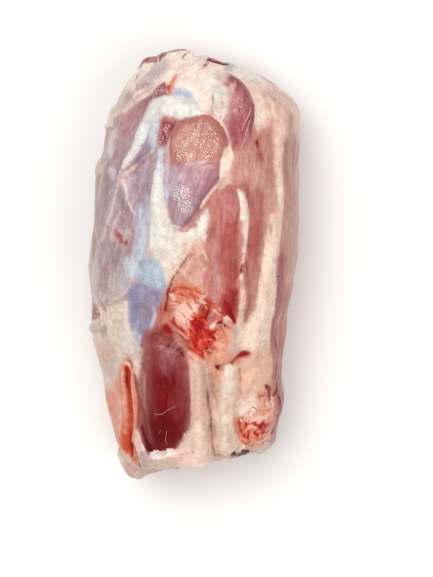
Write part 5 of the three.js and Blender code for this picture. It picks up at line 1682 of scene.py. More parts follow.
@dataclass
class Shank:
    """The whole piece of meat: its form, its tissues and its relief, in millimetres.

    Attributes:
        form: The bare form.
        hidden: The sides and the underside.
        rim_lumps, thick_end_lumps: What makes the two ends uneven.
        rim_lump_level: Height of the lumps' middles, as a share of the rim's height.
        waves: The broad unevenness: length, heading in degrees and height of each wave.
        wave_turn: How far the waves lean with height.
        cut_wander: How far the edges of the two cuts stray.
        thin_cut_inset: Distances from the thin end's rim at which its cut starts and is full.
        thick_cut_y: The same for the thick end, as y.
        thick_cut_top: Heights between which the thick end's cut fades out.
        sliver: Where that cut reaches further up: x of its middle, half its width, its rise.
        fibre_stretch: How much longer than wide the muscle's pattern is.
        fibre_bend, bend_size: How far the fibres stray from straight lines, and over what.
        fibre_relief, fibre_size: Height and size of the muscle bundles.
        fat_relief, fat_size: Height and size of the lumps of fat.
        grain_relief, grain_size: Height and size of the unevenness of everything.
        film_smoothing: How much of the bundles the silverskin hides.
        sheen: What the moisture adds to every colour; the tints are darker by that.
        least_tint: The darkest value that a tint can have.
    """

    form: ShankForm = field(default_factory=ShankForm)
    hidden: HiddenSide = HiddenSide()
    rim_lumps: tuple[RimLump, ...] = (
        RimLump((-37, -121), 18, 7), RimLump((-14, -118), 16, 3), RimLump((41, -114), 20, -4))
    thick_end_lumps: tuple[RimLump, ...] = (RimLump((-24, 120), 42, -3.2),)
    rim_lump_level: float = 0.6
    waves: tuple[tuple[float, float, float], ...] = (
        (71, 12, 0.7), (43, 68, 0.6), (29, -40, 0.45), (19, 25, 0.3))
    wave_turn: float = 0.7
    cut_wander: float = 2.0
    thin_cut_inset: tuple[float, float] = (9.0, 12.0)
    thick_cut_y: tuple[float, float] = (92.0, 104.0)
    thick_cut_top: tuple[float, float] = (26.0, 31.0)
    sliver: tuple[float, float, float] = (-20.0, 28.0, 38.0)
    fibre_stretch: float = 15.0
    fibre_bend: float = 1.4
    bend_size: float = 19.0
    fibre_relief: float = 0.16
    fibre_size: float = 2.8
    fat_relief: float = 0.42
    fat_size: float = 8.5
    grain_relief: float = 0.10
    grain_size: float = 3.4
    film_smoothing: float = 0.6
    sheen: float = 0.012
    least_tint: float = 0.002

    def painted(self) -> Canvas:
        """Lays every layer of tissue on the bare form.

        Returns:
            The canvas with all of them.
        """
        canvas = Canvas(self.form.skin())
        self.hidden.lay(canvas)
        for region in REGIONS:
            for layer in region.layers:
                for part in layer.strokes() if isinstance(layer, Streaks) else (layer,):
                    canvas.lay(part)
            log.info("laid %s: %d layers", region.name, len(region.layers))
        points, stray = canvas.points, self.cut_wander * canvas.wander
        THIN_END.lay(canvas, smooth_step(*self.thin_cut_inset, canvas.skin.inset.ravel() + stray))
        at, half_width, rise = self.sliver
        level = points[:, 2] + stray - rise * swell(np.abs(points[:, 0] - at), half_width)
        THICK_CUT.lay(canvas, smooth_step(*self.thick_cut_y, points[:, 1] + stray)
                      * (1.0 - smooth_step(*self.thick_cut_top, level)))
        canvas.mottle()
        return canvas

    def broad_relief(self, canvas: Canvas) -> np.ndarray:
        """Swellings and hollows of the muscles and tendons.

        Args:
            canvas: The canvas, for its points.

        Returns:
            How far each point moves out, in millimetres.
        """
        points, skin = canvas.points, canvas.skin
        face, upper = skin.face.ravel(), skin.upper.ravel()
        rise = np.zeros(len(points))
        for length, heading, height in self.waves:
            turn = math.radians(heading)
            along = points @ (math.cos(turn), math.sin(turn), self.wave_turn)
            rise += height * np.sin(2 * np.pi * along / length) * (1.0 - face)
        for fold in FOLDS.values():
            line = np.array([skin.lift(place) for place in fold.line])
            low, high = line.min(axis=0) - fold.reach, line.max(axis=0) + fold.reach
            near = np.nonzero(np.all((points >= low) & (points <= high), axis=1))[0]
            rise[near] += fold.lift * swell(reach_of_line(points[near], line), fold.reach)
        for oval in OVALS.values():
            rise += upper * oval.relief(points)
        return rise

    def fine_relief(self, canvas: Canvas, fibre: np.ndarray) -> np.ndarray:
        """Muscle fibres, lumps of fat and the unevenness of everything.

        Args:
            canvas: The canvas with its tissues.
            fibre: Its points, drawn together along the fibres.

        Returns:
            How far each point moves out, in millimetres.
        """
        points = canvas.points
        fat, film = canvas.amount[Tissue.FAT], canvas.amount[Tissue.FILM]
        flesh = (1.0 - fat) * (1.0 - self.film_smoothing * film)
        rise = self.fibre_relief * flesh * unevenness(fibre, self.fibre_size, Seed.FIBRES)
        rise += self.fat_relief * fat * layered_unevenness(points, self.fat_size, Seed.FAT_LUMPS)
        rise += self.grain_relief * layered_unevenness(points, self.grain_size, Seed.FINE_LUMPS, 2)
        return rise

    def fibre_places(self, canvas: Canvas) -> np.ndarray:
        """The points drawn together along the fibres, so that a round pattern comes out long.

        Args:
            canvas: The canvas, for its points and their headings.

        Returns:
            One row for each point, in millimetres.
        """
        points = canvas.points
        turn = np.radians(canvas.heading)
        direction = np.stack([np.sin(turn), np.cos(turn), np.zeros(len(turn))], axis=1)
        along = np.sum(points * direction, axis=1, keepdims=True)
        bent = points.copy()
        for number, axis in enumerate((0, 2)):
            bent[:, axis] += self.fibre_bend * unevenness(points, self.bend_size,
                                                          Seed.FIBRE_BENDS + number)
        return bent - (1.0 - 1.0 / self.fibre_stretch) * along * direction

    def shape(self, canvas: Canvas, rise: np.ndarray) -> np.ndarray:
        """Moves the skin's points out, and rests them on z = 0 in the middle of the CAD's box.

        Args:
            canvas: The canvas, for its skin.
            rise: How far each point moves out, in millimetres.

        Returns:
            The finished points, ring by ring.
        """
        skin = canvas.skin
        moved = skin.places + skin.outward * rise.reshape(skin.places.shape[:2])[:, :, None]
        height = float(self.form.value("height", self.form.rim_y))
        for lump in self.rim_lumps + self.thick_end_lumps:
            centre = np.array([*lump.at, self.rim_lump_level * height])
            away = np.linalg.norm(skin.places - centre, axis=2)
            moved[:, :, 1] -= lump.hang * swell(away, lump.radius)
        moved[:, :, 2] = self.form.rest_on_table(moved[:, :, 2])
        low, high = np.array(CAD_BOX[0]) / MM, np.array(CAD_BOX[1]) / MM
        points = moved.reshape(-1, 3)
        middle = 0.5 * (points.min(axis=0) + points.max(axis=0))
        shift = 0.5 * (low + high) - middle
        shift[2] = low[2] - points[:, 2].min()
        return moved + shift

    def build(self) -> tuple[bpy.types.Object, Skin]:
        """Makes the meat.

        Returns:
            The object, with its tissues as attributes, and its finished skin.
        """
        canvas = self.painted()
        fibre = self.fibre_places(canvas)
        rise = self.broad_relief(canvas) + canvas.rise + self.fine_relief(canvas, fibre)
        places = self.shape(canvas, rise)
        rings, columns = places.shape[:2]
        poles = [0.5 * (places[end].min(axis=0) + places[end].max(axis=0)) for end in (0, -1)]
        points = np.vstack([places.reshape(-1, 3), poles])
        number = np.arange(rings * columns).reshape(rings, columns)
        right = np.roll(number, -1, axis=1)
        quads = np.stack([number[:-1], number[1:], right[1:], right[:-1]], axis=-1).reshape(-1, 4)
        first = [(rings * columns, a, b) for a, b in zip(number[0], right[0])]
        last = [(rings * columns + 1, b, a) for a, b in zip(number[-1], right[-1])]
        mesh = bpy.data.meshes.new(NODE)
        mesh.from_pydata((points * MM).tolist(), [], quads.tolist() + first + last)
        mesh.shade_smooth()
        self.mark_tissues(mesh, canvas, fibre)
        shank = bpy.data.objects.new("shank_skin", mesh)
        bpy.context.scene.collection.objects.link(shank)
        skin = canvas.skin
        skin.places, skin.outward = places, self.form.normals(places)
        log.info("meat: %d points, highest %.1f mm", len(points), points[:, 2].max())
        return shank, skin

    def mark_tissues(self, mesh: bpy.types.Mesh, canvas: Canvas, fibre: np.ndarray) -> None:
        """Writes the tissues on the mesh, for its material to read.

        Args:
            mesh: The meat's mesh: the canvas's points first, then its two poles.
            canvas: The tissues.
            fibre: The points drawn together along the fibres, in millimetres.
        """
        columns = canvas.skin.places.shape[1]

        def with_poles(values: np.ndarray) -> np.ndarray:
            """Adds the means of the first and the last ring for the poles."""
            return np.vstack([values, values[:columns].mean(axis=0), values[-columns:].mean(axis=0)])

        for tissue in Tissue:
            seen = to_linear(with_poles(canvas.tint[tissue]))
            tint = np.maximum(seen - self.sheen, self.least_tint) / (1.0 - self.sheen)
            layer = mesh.color_attributes.new(f"{tissue.name.lower()}_tint", "FLOAT_COLOR", "POINT")
            layer.data.foreach_set("color", np.column_stack([tint, np.ones(len(tint))]).ravel())
        amounts = np.stack([canvas.amount[tissue] for tissue in (FAT, FILM, BLOOD)], axis=1)
        for name, values in (("tissue", amounts), ("fibre", fibre)):
            layer = mesh.attributes.new(name, "FLOAT_VECTOR", "POINT")
            layer.data.foreach_set("vector", with_poles(values).ravel())


# ---------------------------------------------------------------------------------------
# Finishes
# ---------------------------------------------------------------------------------------

MIX_SHARE, MIX_FIRST, MIX_SECOND, MIX_RESULT = 0, 6, 7, 2  # sockets of a Mix node for colours
FLOAT_FIRST, FLOAT_SECOND = 2, 3  # sockets of a Mix node for values; its result is output 0


@dataclass(frozen=True)
class Pattern:
    """A noise pattern with values round 0.5.

    Attributes:
        size: Length of one bump, in millimetres.
        along_fibres: Whether it is drawn out along the fibres.
        detail, roughness, distortion: The noise texture's own settings.
    """

    size: float
    along_fibres: bool = False
    detail: float = 2.0
    roughness: float = 0.5
    distortion: float = 0.0


# Muscle bundles are about 1 mm wide. They are drawn at that size and also coarser, so they show.
PATTERNS = {
    "bundles": Pattern(2.4, True, roughness=0.55, distortion=0.25),
    "fibres": Pattern(0.95, True, roughness=0.6),
    "wisps of film": Pattern(5.0, True, detail=3.0, distortion=0.4),
    "patches of fat": Pattern(7.5, detail=4.0, roughness=0.58),
    "torn edges": Pattern(2.6, detail=3.0, roughness=0.6),
    "clots": Pattern(3.4, detail=4.0, roughness=0.62, distortion=0.6),
    "pools": Pattern(3.4),
    "wet places": Pattern(14.0, detail=4.0, roughness=0.6),
    "grain": Pattern(0.8),
    "speckles": Pattern(0.8, detail=1.0, roughness=0.7),
}


@dataclass(frozen=True)
class WetMeat:
    """Raw beef, trimmed and moist: muscle, firm fat, silverskin and blood in one skin.

    To the eye it is soft and slightly see-through, streaked along its fibres, and the moisture
    on it gives small sharp glints.

    Attributes:
        lobule_size: Size of the lobules in the fat, in millimetres.
        looks: For each tissue the patterns that darken it: name, the values between which
            the shade goes from dark to light, and the dark shade.
        speckles: The same for the fine speckles over all tissues.
        torn: For fat and blood the number of its amount, the pattern that tears its edge, that
            pattern's weight, and the values between which the tissue goes from none to all.
        film_cover: Least and most that the silverskin's wisps leave of it.
        flesh_roughness: Roughness of wet and of dry flesh.
        roughness_of: Roughness of the other tissues.
        blend: How much of that they show.
        relief: Depth of the finest relief, in millimetres.
        fibre_share: How much of the flesh's relief is fibres and not bundles.
        lobule_depth, grain_depth: Heights of the lobules and of the grain in that relief.
    """

    lobule_size: float = 3.4
    looks: tuple[tuple[Tissue, tuple[tuple[str, float, float, str], ...]], ...] = (
        (FLESH, (("bundles", 0.30, 0.70, "#ede2e0"), ("fibres", 0.30, 0.70, "#f2eae8"))),
        (FAT, (("patches of fat", 0.32, 0.68, "#f1e9e4"), ("lobules", 0.75, 0.25, "#f5f0ec"))),
        (FILM, (("bundles", 0.30, 0.70, "#e9e4e7"),)),
        (BLOOD, (("pools", 0.35, 0.65, "#c09890"),)),
    )
    speckles: tuple[str, float, float, str] = ("speckles", 0.30, 0.70, "#e6dcd9")
    torn: tuple[tuple[Tissue, int, str, float, float, float], ...] = (
        (FAT, 0, "torn edges", 0.36, 0.16, 0.84), (BLOOD, 2, "clots", 0.7, 0.18, 0.82))
    film_cover: tuple[float, float] = (0.62, 1.0)
    flesh_roughness: tuple[float, float] = (0.28, 0.46)
    roughness_of: tuple[tuple[Tissue, float], ...] = ((FAT, 0.42), (FILM, 0.30), (BLOOD, 0.20))
    blend: float = 0.65
    relief: float = 0.28
    fibre_share: float = 0.45
    lobule_depth: float = -0.6
    grain_depth: float = 0.35

    def dress(self) -> bpy.types.Material:
        """Makes the material.

        Returns:
            The material, which reads the tints and amounts that the mesh carries.
        """
        material = bpy.data.materials.new("raw beef, trimmed and moist")
        material.use_nodes = True
        tree = material.node_tree
        tree.nodes.clear()
        patterns = self.patterns(tree)
        amounts = self.amounts(tree, patterns)
        colour = self.colour(tree, amounts, patterns)
        shader = add_node(tree, "ShaderNodeBsdfPrincipled", {
            "Base Color": colour,
            "Specular Tint": colour,
            "Roughness": self.roughness(tree, amounts, patterns),
            "Normal": self.bump(tree, amounts, patterns),
            "IOR": 1.42,
            "Coat Weight": 0.32,
            "Coat Roughness": 0.14,
            "Coat IOR": 1.34,
            "Subsurface Weight": 0.05,
            "Subsurface Radius": (1.0, 0.32, 0.22),
            "Subsurface Scale": 3.0 * MM,
        }, subsurface_method="RANDOM_WALK")
        add_node(tree, "ShaderNodeOutputMaterial", {"Surface": shader.outputs["BSDF"]})
        return material

    def patterns(self, tree: bpy.types.NodeTree) -> dict[str, Socket]:
        """Makes the patterns that the other parts of the material share.

        Args:
            tree: The material's tree.

        Returns:
            The value of each pattern, by its name in PATTERNS, and that of the lobules.
        """
        places = add_node(tree, "ShaderNodeVectorMath", {
            0: add_node(tree, "ShaderNodeTexCoord").outputs["Object"], "Scale": 1.0 / MM,
        }, operation="SCALE").outputs[0]
        fibre = add_node(tree, "ShaderNodeAttribute", attribute_name="fibre").outputs["Vector"]
        made = {name: add_node(tree, "ShaderNodeTexNoise", {
            "Vector": fibre if pattern.along_fibres else places, "Scale": 1.0 / pattern.size,
            "Detail": pattern.detail, "Roughness": pattern.roughness,
            "Distortion": pattern.distortion}).outputs["Fac"] for name, pattern in PATTERNS.items()}
        made["lobules"] = add_node(tree, "ShaderNodeTexVoronoi", {
            "Vector": places, "Scale": 1.0 / self.lobule_size, "Smoothness": 0.8},
            feature="SMOOTH_F1").outputs["Distance"]
        return made

    def amounts(self, tree: bpy.types.NodeTree, patterns: dict[str, Socket]) -> dict[Tissue, Socket]:
        """How much of fat, film and blood there is, with edges as ragged as torn tissue.

        Args:
            tree: The material's tree.
            patterns: The shared patterns.

        Returns:
            A value from 0 to 1 for each of the three.
        """
        split = add_node(tree, "ShaderNodeSeparateXYZ", {
            0: add_node(tree, "ShaderNodeAttribute", attribute_name="tissue").outputs["Vector"]})
        found = {}
        for tissue, number, name, weight, low, high in self.torn:
            moved = add_node(tree, "ShaderNodeMath", {0: patterns[name], 1: 0.5},
                             operation="SUBTRACT").outputs[0]
            mixed = add_node(tree, "ShaderNodeMath", {0: moved, 1: weight, 2: split.outputs[number]},
                             operation="MULTIPLY_ADD").outputs[0]
            found[tissue] = add_node(tree, "ShaderNodeMapRange", {
                "Value": mixed, "From Min": low, "From Max": high},
                interpolation_type="SMOOTHSTEP").outputs[0]
        cover = add_node(tree, "ShaderNodeMapRange", {
            "Value": patterns["wisps of film"], "From Min": 0.3, "From Max": 0.7,
            "To Min": self.film_cover[0], "To Max": self.film_cover[1]}).outputs[0]
        found[FILM] = add_node(tree, "ShaderNodeMath", {0: split.outputs[1], 1: cover},
                               operation="MULTIPLY").outputs[0]
        return found

    def colour(self, tree: bpy.types.NodeTree, amounts: dict[Tissue, Socket],
               patterns: dict[str, Socket]) -> Socket:
        """Lays the tissues' colours one over the other, each darkened by its own patterns.

        Args:
            tree: The material's tree.
            amounts: How much there is of every tissue above the flesh.
            patterns: The shared patterns.

        Returns:
            The colour.
        """
        def darkened(tint: Socket, name: str, low: float, high: float, dark: str) -> Socket:
            """Darkens a tint where a pattern is low.

            Args:
                tint: The tint.
                name: The pattern.
                low: Value of the pattern where the shade is dark.
                high: Value where it is white.
                dark: Colour code of the dark shade.

            Returns:
                The darkened tint.
            """
            share = add_node(tree, "ShaderNodeMapRange", {
                "Value": patterns[name], "From Min": low, "From Max": high}).outputs[0]
            shade = add_node(tree, "ShaderNodeMix", {
                MIX_SHARE: share, MIX_FIRST: paint(dark), MIX_SECOND: paint("#ffffff")},
                data_type="RGBA").outputs[MIX_RESULT]
            return add_node(tree, "ShaderNodeMix", {
                MIX_SHARE: 1.0, MIX_FIRST: tint, MIX_SECOND: shade},
                data_type="RGBA", blend_type="MULTIPLY").outputs[MIX_RESULT]

        layered = None
        for tissue, shades in self.looks:
            tint = add_node(tree, "ShaderNodeAttribute",
                            attribute_name=f"{tissue.name.lower()}_tint").outputs["Color"]
            for shade in shades:
                tint = darkened(tint, *shade)
            if layered is None:
                layered = tint
            else:
                layered = add_node(tree, "ShaderNodeMix", {
                    MIX_SHARE: amounts[tissue], MIX_FIRST: layered, MIX_SECOND: tint},
                    data_type="RGBA").outputs[MIX_RESULT]
        return darkened(layered, *self.speckles)

    def roughness(self, tree: bpy.types.NodeTree, amounts: dict[Tissue, Socket],
                  patterns: dict[str, Socket]) -> Socket:
        """Moist flesh is glossier than fat, and film and blood are glossier still.

        Args:
            tree: The material's tree.
            amounts: How much there is of every tissue above the flesh.
            patterns: The shared patterns.

        Returns:
            The roughness.
        """
        wet, dry = self.flesh_roughness
        value = add_node(tree, "ShaderNodeMapRange", {
            "Value": patterns["wet places"], "From Min": 0.3, "From Max": 0.7,
            "To Min": wet, "To Max": dry}).outputs[0]
        for tissue, rough in self.roughness_of:
            share = add_node(tree, "ShaderNodeMath", {0: amounts[tissue], 1: self.blend},
                             operation="MULTIPLY").outputs[0]
            value = add_node(tree, "ShaderNodeMix", {
                MIX_SHARE: share, FLOAT_FIRST: value, FLOAT_SECOND: rough}).outputs[0]
        return value

    def bump(self, tree: bpy.types.NodeTree, amounts: dict[Tissue, Socket],
             patterns: dict[str, Socket]) -> Socket:
        """The finest relief: fibres in the flesh, lobules in the fat, and moist grain.

        Args:
            tree: The material's tree.
            amounts: How much there is of every tissue above the flesh.
            patterns: The shared patterns.

        Returns:
            The normal.
        """
        flesh = add_node(tree, "ShaderNodeMix", {
            MIX_SHARE: self.fibre_share, FLOAT_FIRST: patterns["bundles"],
            FLOAT_SECOND: patterns["fibres"]}).outputs[0]
        fat = add_node(tree, "ShaderNodeMath", {
            0: patterns["lobules"], 1: self.lobule_depth, 2: patterns["patches of fat"]},
            operation="MULTIPLY_ADD").outputs[0]
        height = add_node(tree, "ShaderNodeMix", {
            MIX_SHARE: amounts[FAT], FLOAT_FIRST: flesh, FLOAT_SECOND: fat}).outputs[0]
        height = add_node(tree, "ShaderNodeMath", {
            0: patterns["grain"], 1: self.grain_depth, 2: height},
            operation="MULTIPLY_ADD").outputs[0]
        return add_node(tree, "ShaderNodeBump", {
            "Strength": 0.5, "Distance": self.relief * MM, "Height": height}).outputs["Normal"]


@dataclass(frozen=True)
class PlainTissue:
    """A small piece of one tissue: a thread of connective tissue, a vein or a drop.

    To the eye it is moist, and its colour drifts a little from place to place.

    Attributes:
        name: What it is.
        dark: Its colour in the dark patches.
        light: Its colour in the light ones.
        roughness: How dull it is.
        patch: Size of the patches, in millimetres.
        wet: Weight of the moisture on it.
        roughness_range: How much duller or glossier it can be.
    """

    name: str
    dark: str
    light: str
    roughness: float
    patch: float = 3.0
    wet: float = 0.3
    roughness_range: float = 0.06

    def dress(self) -> bpy.types.Material:
        """Makes the material.

        Returns:
            The material.
        """
        material = bpy.data.materials.new(self.name)
        material.use_nodes = True
        tree = material.node_tree
        tree.nodes.clear()
        noise = add_node(tree, "ShaderNodeTexNoise", {
            "Vector": add_node(tree, "ShaderNodeTexCoord").outputs["Object"],
            "Scale": 1.0 / (self.patch * MM), "Detail": 3.0}).outputs["Fac"]
        share = add_node(tree, "ShaderNodeMapRange", {
            "Value": noise, "From Min": 0.35, "From Max": 0.65}).outputs[0]
        colour = add_node(tree, "ShaderNodeMix", {
            MIX_SHARE: share, MIX_FIRST: paint(self.dark), MIX_SECOND: paint(self.light)},
            data_type="RGBA").outputs[MIX_RESULT]
        rough = add_node(tree, "ShaderNodeMapRange", {
            "Value": noise, "To Min": self.roughness - self.roughness_range,
            "To Max": self.roughness + self.roughness_range}).outputs[0]
        bump = add_node(tree, "ShaderNodeBump", {
            "Strength": 0.3, "Distance": 0.1 * MM, "Height": noise}).outputs["Normal"]
        shader = add_node(tree, "ShaderNodeBsdfPrincipled", {
            "Base Color": colour, "Roughness": rough, "Normal": bump, "IOR": 1.42,
            "Coat Weight": self.wet, "Coat Roughness": 0.12})
        add_node(tree, "ShaderNodeOutputMaterial", {"Surface": shader.outputs["BSDF"]})
        return material


# ---------------------------------------------------------------------------------------
# Small pieces on the meat
# ---------------------------------------------------------------------------------------

def make_tree(name: str, inputs: dict[str, tuple[str, Any]]) -> tuple[bpy.types.NodeTree, bpy.types.Node]:
    """Starts a Geometry Nodes tree.

    Args:
        name: The tree's name.
        inputs: Its named inputs, each with the kind of socket and the value it starts with.

    Returns:
        The tree and its Group Input node.
    """
    tree = bpy.data.node_groups.new(name, "GeometryNodeTree")
    tree.interface.new_socket("Geometry", in_out="INPUT", socket_type="NodeSocketGeometry")
    tree.interface.new_socket("Geometry", in_out="OUTPUT", socket_type="NodeSocketGeometry")
    for label, (kind, value) in inputs.items():
        socket = tree.interface.new_socket(label, in_out="INPUT", socket_type=kind)
        socket.default_value = value
    return tree, tree.nodes.new("NodeGroupInput")


def finish_tree(tree: bpy.types.NodeTree, geometry: bpy.types.NodeSocket,
                material: bpy.types.Material) -> None:
    """Ends a tree with real mesh and its material.

    Args:
        tree: The tree.
        geometry: What it made.
        material: The finish.
    """
    real = add_node(tree, "GeometryNodeRealizeInstances", {"Geometry": geometry})
    dressed = add_node(tree, "GeometryNodeSetMaterial", {
        "Geometry": real.outputs["Geometry"], "Material": material})
    add_node(tree, "NodeGroupOutput", {"Geometry": dressed.outputs["Geometry"]})


def bake(name: str, base: bpy.types.Mesh, tree: bpy.types.NodeTree,
         sizes: dict[str, float | int]) -> bpy.types.Object:
    """Runs a tree on a mesh and keeps the result as a plain mesh.

    Args:
        name: Name of the piece.
        base: The mesh that the tree starts from.
        tree: The tree.
        sizes: Values for its named inputs.

    Returns:
        The finished piece, at the origin, with no modifier left.
    """
    carrier = bpy.data.objects.new(name + "_base", base)
    bpy.context.scene.collection.objects.link(carrier)
    modifier = carrier.modifiers.new("make", "NODES")
    modifier.node_group = tree
    identifiers = {item.name: item.identifier for item in tree.interface.items_tree
                   if item.item_type == "SOCKET" and item.in_out == "INPUT"}
    for label, value in sizes.items():
        modifier[identifiers[label]] = value
    bpy.context.view_layer.update()
    evaluated = carrier.evaluated_get(bpy.context.evaluated_depsgraph_get())
    mesh = bpy.data.meshes.new_from_object(evaluated)
    mesh.name = name
    bpy.data.objects.remove(carrier)
    piece = bpy.data.objects.new(name, mesh)
    bpy.context.scene.collection.objects.link(piece)
    return piece


def attach(piece: bpy.types.Object) -> bpy.types.Object:
    """Lets a piece move with the meat.

    Args:
        piece: The piece.

    Returns:
        The same piece.
    """
    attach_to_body(piece, BODY)
    log.info("%s: %d faces", piece.name, len(piece.data.polygons))
    return piece


STRAND_GAP = 7.0  # keeps the strands' random patterns apart


@dataclass
class Threads:
    """Thin strands that lie on the meat: torn fibres of white tissue, or small veins.

    Attributes:
        name: Name of the piece.
        paths: Their lines of places, each place with the strand's width there.
        finish: What they are made of.
        sink: How much of its thickness a strand sinks into the meat, from 0 to 1.
        wiggle: How far it strays from its line, in millimetres.
        wiggle_size: Length over which it strays.
        seed: Chooses how it strays.
        sides: Sides of a strand.
    """

    name: str
    paths: tuple[tuple[WidePlace, ...], ...]
    finish: PlainTissue
    sink: float = 0.35
    wiggle: float = 0.25
    wiggle_size: float = 3.0
    seed: int = Seed.THREADS
    sides: int = 7

    def build(self, skin: Skin) -> bpy.types.Object:
        """Makes the strands on the finished skin.

        Args:
            skin: The meat's finished skin.

        Returns:
            The piece.
        """
        points, edges, widths = [], [], []
        for number, path in enumerate(self.paths):
            curve = flowing(path, closed=False, steps=10)
            flat = np.column_stack([curve[:, :2], np.full(len(curve), STRAND_GAP * number)])
            spots = curve[:, :2] + self.wiggle * np.stack([
                unevenness(flat, self.wiggle_size, self.seed + axis) for axis in (0, 1)], axis=1)
            start = len(points)
            for spot, width in zip(spots, curve[:, 2]):
                place, outward = skin.lift(spot), skin.way_out(spot)
                points.append(place + outward * width * (0.5 - self.sink))
                widths.append(width)
            edges += [(i, i + 1) for i in range(start, len(points) - 1)]
        base = bpy.data.meshes.new(self.name + "_lines")
        base.from_pydata((np.array(points) * MM).tolist(), edges, [])
        layer = base.attributes.new("width", "FLOAT", "POINT")
        layer.data.foreach_set("value", np.array(widths) * MM)
        tree, given = make_tree(self.name, {"Thickness": ("NodeSocketFloat", 1.0),
                                            "Sides": ("NodeSocketInt", self.sides)})
        curve = add_node(tree, "GeometryNodeMeshToCurve", {"Mesh": given.outputs["Geometry"]})
        width = add_node(tree, "GeometryNodeInputNamedAttribute", {"Name": "width"}, data_type="FLOAT")
        scale = add_node(tree, "ShaderNodeMath", {
            0: width.outputs["Attribute"], 1: given.outputs["Thickness"]}, operation="MULTIPLY")
        ring = add_node(tree, "GeometryNodeCurvePrimitiveCircle", {
            "Resolution": given.outputs["Sides"], "Radius": 0.5})
        tube = add_node(tree, "GeometryNodeCurveToMesh", {
            "Curve": curve.outputs["Curve"], "Profile Curve": ring.outputs["Curve"],
            "Scale": scale.outputs[0], "Fill Caps": True})
        smooth = add_node(tree, "GeometryNodeSetShadeSmooth", {"Geometry": tube.outputs["Mesh"]})
        finish_tree(tree, smooth.outputs["Geometry"], self.finish.dress())
        return attach(bake(self.name, base, tree, {"Thickness": 1.0, "Sides": self.sides}))


CM2_PER_M2 = 1.0e4


@dataclass
class Grains:
    """Many small round bits strewn over patches of the meat: moisture, crumbs of fat or clots.

    Attributes:
        name: Name of the piece.
        areas: Outlines of the patches, as places.
        finish: What the bits are made of.
        per_cm2: How many there are on a square centimetre.
        size: Width of a middling bit, in millimetres.
        flatness: Height of a bit as a share of its width.
        variation: How much smaller or larger than middling a bit can be, as a share.
        sink: How far a bit's middle lies below the skin, as a share of its width.
        seed: Chooses where the bits are.
    """

    name: str
    areas: tuple[tuple[Place, ...], ...]
    finish: PlainTissue
    per_cm2: float
    size: float
    flatness: float = 0.5
    variation: float = 0.5
    sink: float = 0.0
    seed: int = Seed.BEADS

    def carrier(self, skin: Skin) -> bpy.types.Mesh:
        """The part of the skin that the bits lie on.

        Args:
            skin: The meat's finished skin.

        Returns:
            A copy of the faces inside the areas.
        """
        spots = np.stack([skin.q.ravel(), skin.run.ravel()], axis=1)
        chosen = np.zeros(len(spots), bool)
        for area in self.areas:
            chosen |= is_inside(spots, flowing(area, closed=True)[:, :2])
        rings, columns = skin.q.shape
        number = np.arange(rings * columns).reshape(rings, columns)
        quads = np.stack([number[:-1, :-1], number[1:, :-1], number[1:, 1:], number[:-1, 1:]],
                         axis=-1).reshape(-1, 4)
        quads = quads[chosen[quads].all(axis=1)]
        used, renumbered = np.unique(quads, return_inverse=True)
        base = bpy.data.meshes.new(self.name + "_patch")
        base.from_pydata((skin.places.reshape(-1, 3)[used] * MM).tolist(), [],
                         renumbered.reshape(-1, 4).tolist())
        return base

    def build(self, skin: Skin) -> bpy.types.Object:
        """Makes the bits on the finished skin.

        Args:
            skin: The meat's finished skin.

        Returns:
            The piece.
        """
        tree, given = make_tree(self.name, {
            "Density": ("NodeSocketFloat", 1.0), "Size": ("NodeSocketFloat", 0.001),
            "Flatness": ("NodeSocketFloat", 0.5), "Smallest": ("NodeSocketFloat", 0.5),
            "Largest": ("NodeSocketFloat", 1.5), "Seed": ("NodeSocketInt", 0)})
        strewn = add_node(tree, "GeometryNodeDistributePointsOnFaces", {
            "Mesh": given.outputs["Geometry"], "Density": given.outputs["Density"],
            "Seed": given.outputs["Seed"]})
        bit = add_node(tree, "GeometryNodeMeshIcoSphere", {"Radius": 0.5, "Subdivisions": 1})
        flat = add_node(tree, "ShaderNodeCombineXYZ", {
            0: 1.0, 1: 1.0, 2: given.outputs["Flatness"]})
        size = add_node(tree, "FunctionNodeRandomValue", {
            2: given.outputs["Smallest"], 3: given.outputs["Largest"],
            "Seed": given.outputs["Seed"]}, data_type="FLOAT")
        scale = add_node(tree, "ShaderNodeMath", {0: size.outputs[1], 1: given.outputs["Size"]},
                         operation="MULTIPLY")
        shape = add_node(tree, "ShaderNodeVectorMath", {
            0: flat.outputs[0], "Scale": scale.outputs[0]}, operation="SCALE")
        placed = add_node(tree, "GeometryNodeInstanceOnPoints", {
            "Points": strewn.outputs["Points"], "Instance": bit.outputs["Mesh"],
            "Rotation": strewn.outputs["Rotation"], "Scale": shape.outputs[0]})
        smooth = add_node(tree, "GeometryNodeSetShadeSmooth", {"Geometry": placed.outputs["Instances"]})
        finish_tree(tree, smooth.outputs["Geometry"], self.finish.dress())
        return attach(bake(self.name, self.carrier(skin), tree, {
            "Density": self.per_cm2 * CM2_PER_M2, "Size": self.size * MM, "Flatness": self.flatness,
            "Smallest": 1.0 - self.variation, "Largest": 1.0 + self.variation, "Seed": self.seed}))


HAIR = PlainTissue("torn white tissue", "#b98a84", "#dcb8b0", 0.38, patch=4.0)
VEIN = PlainTissue("small vein", "#7c4a40", "#a8665a", 0.34, patch=2.5)
# Beads of moisture, coloured pale pink to near white so that they also paint the glints on the wet meat.
PINK_GLINT_BEADS = PlainTissue("pink beads of moisture painted as glints", "#cf9a8e", "#f9ddd0", 0.22, patch=5.0)
WHITE_GLINT_BEADS = PlainTissue("white beads painted as glints of moisture", "#cfc9d3", "#fbfbfc", 0.20, patch=5.0)

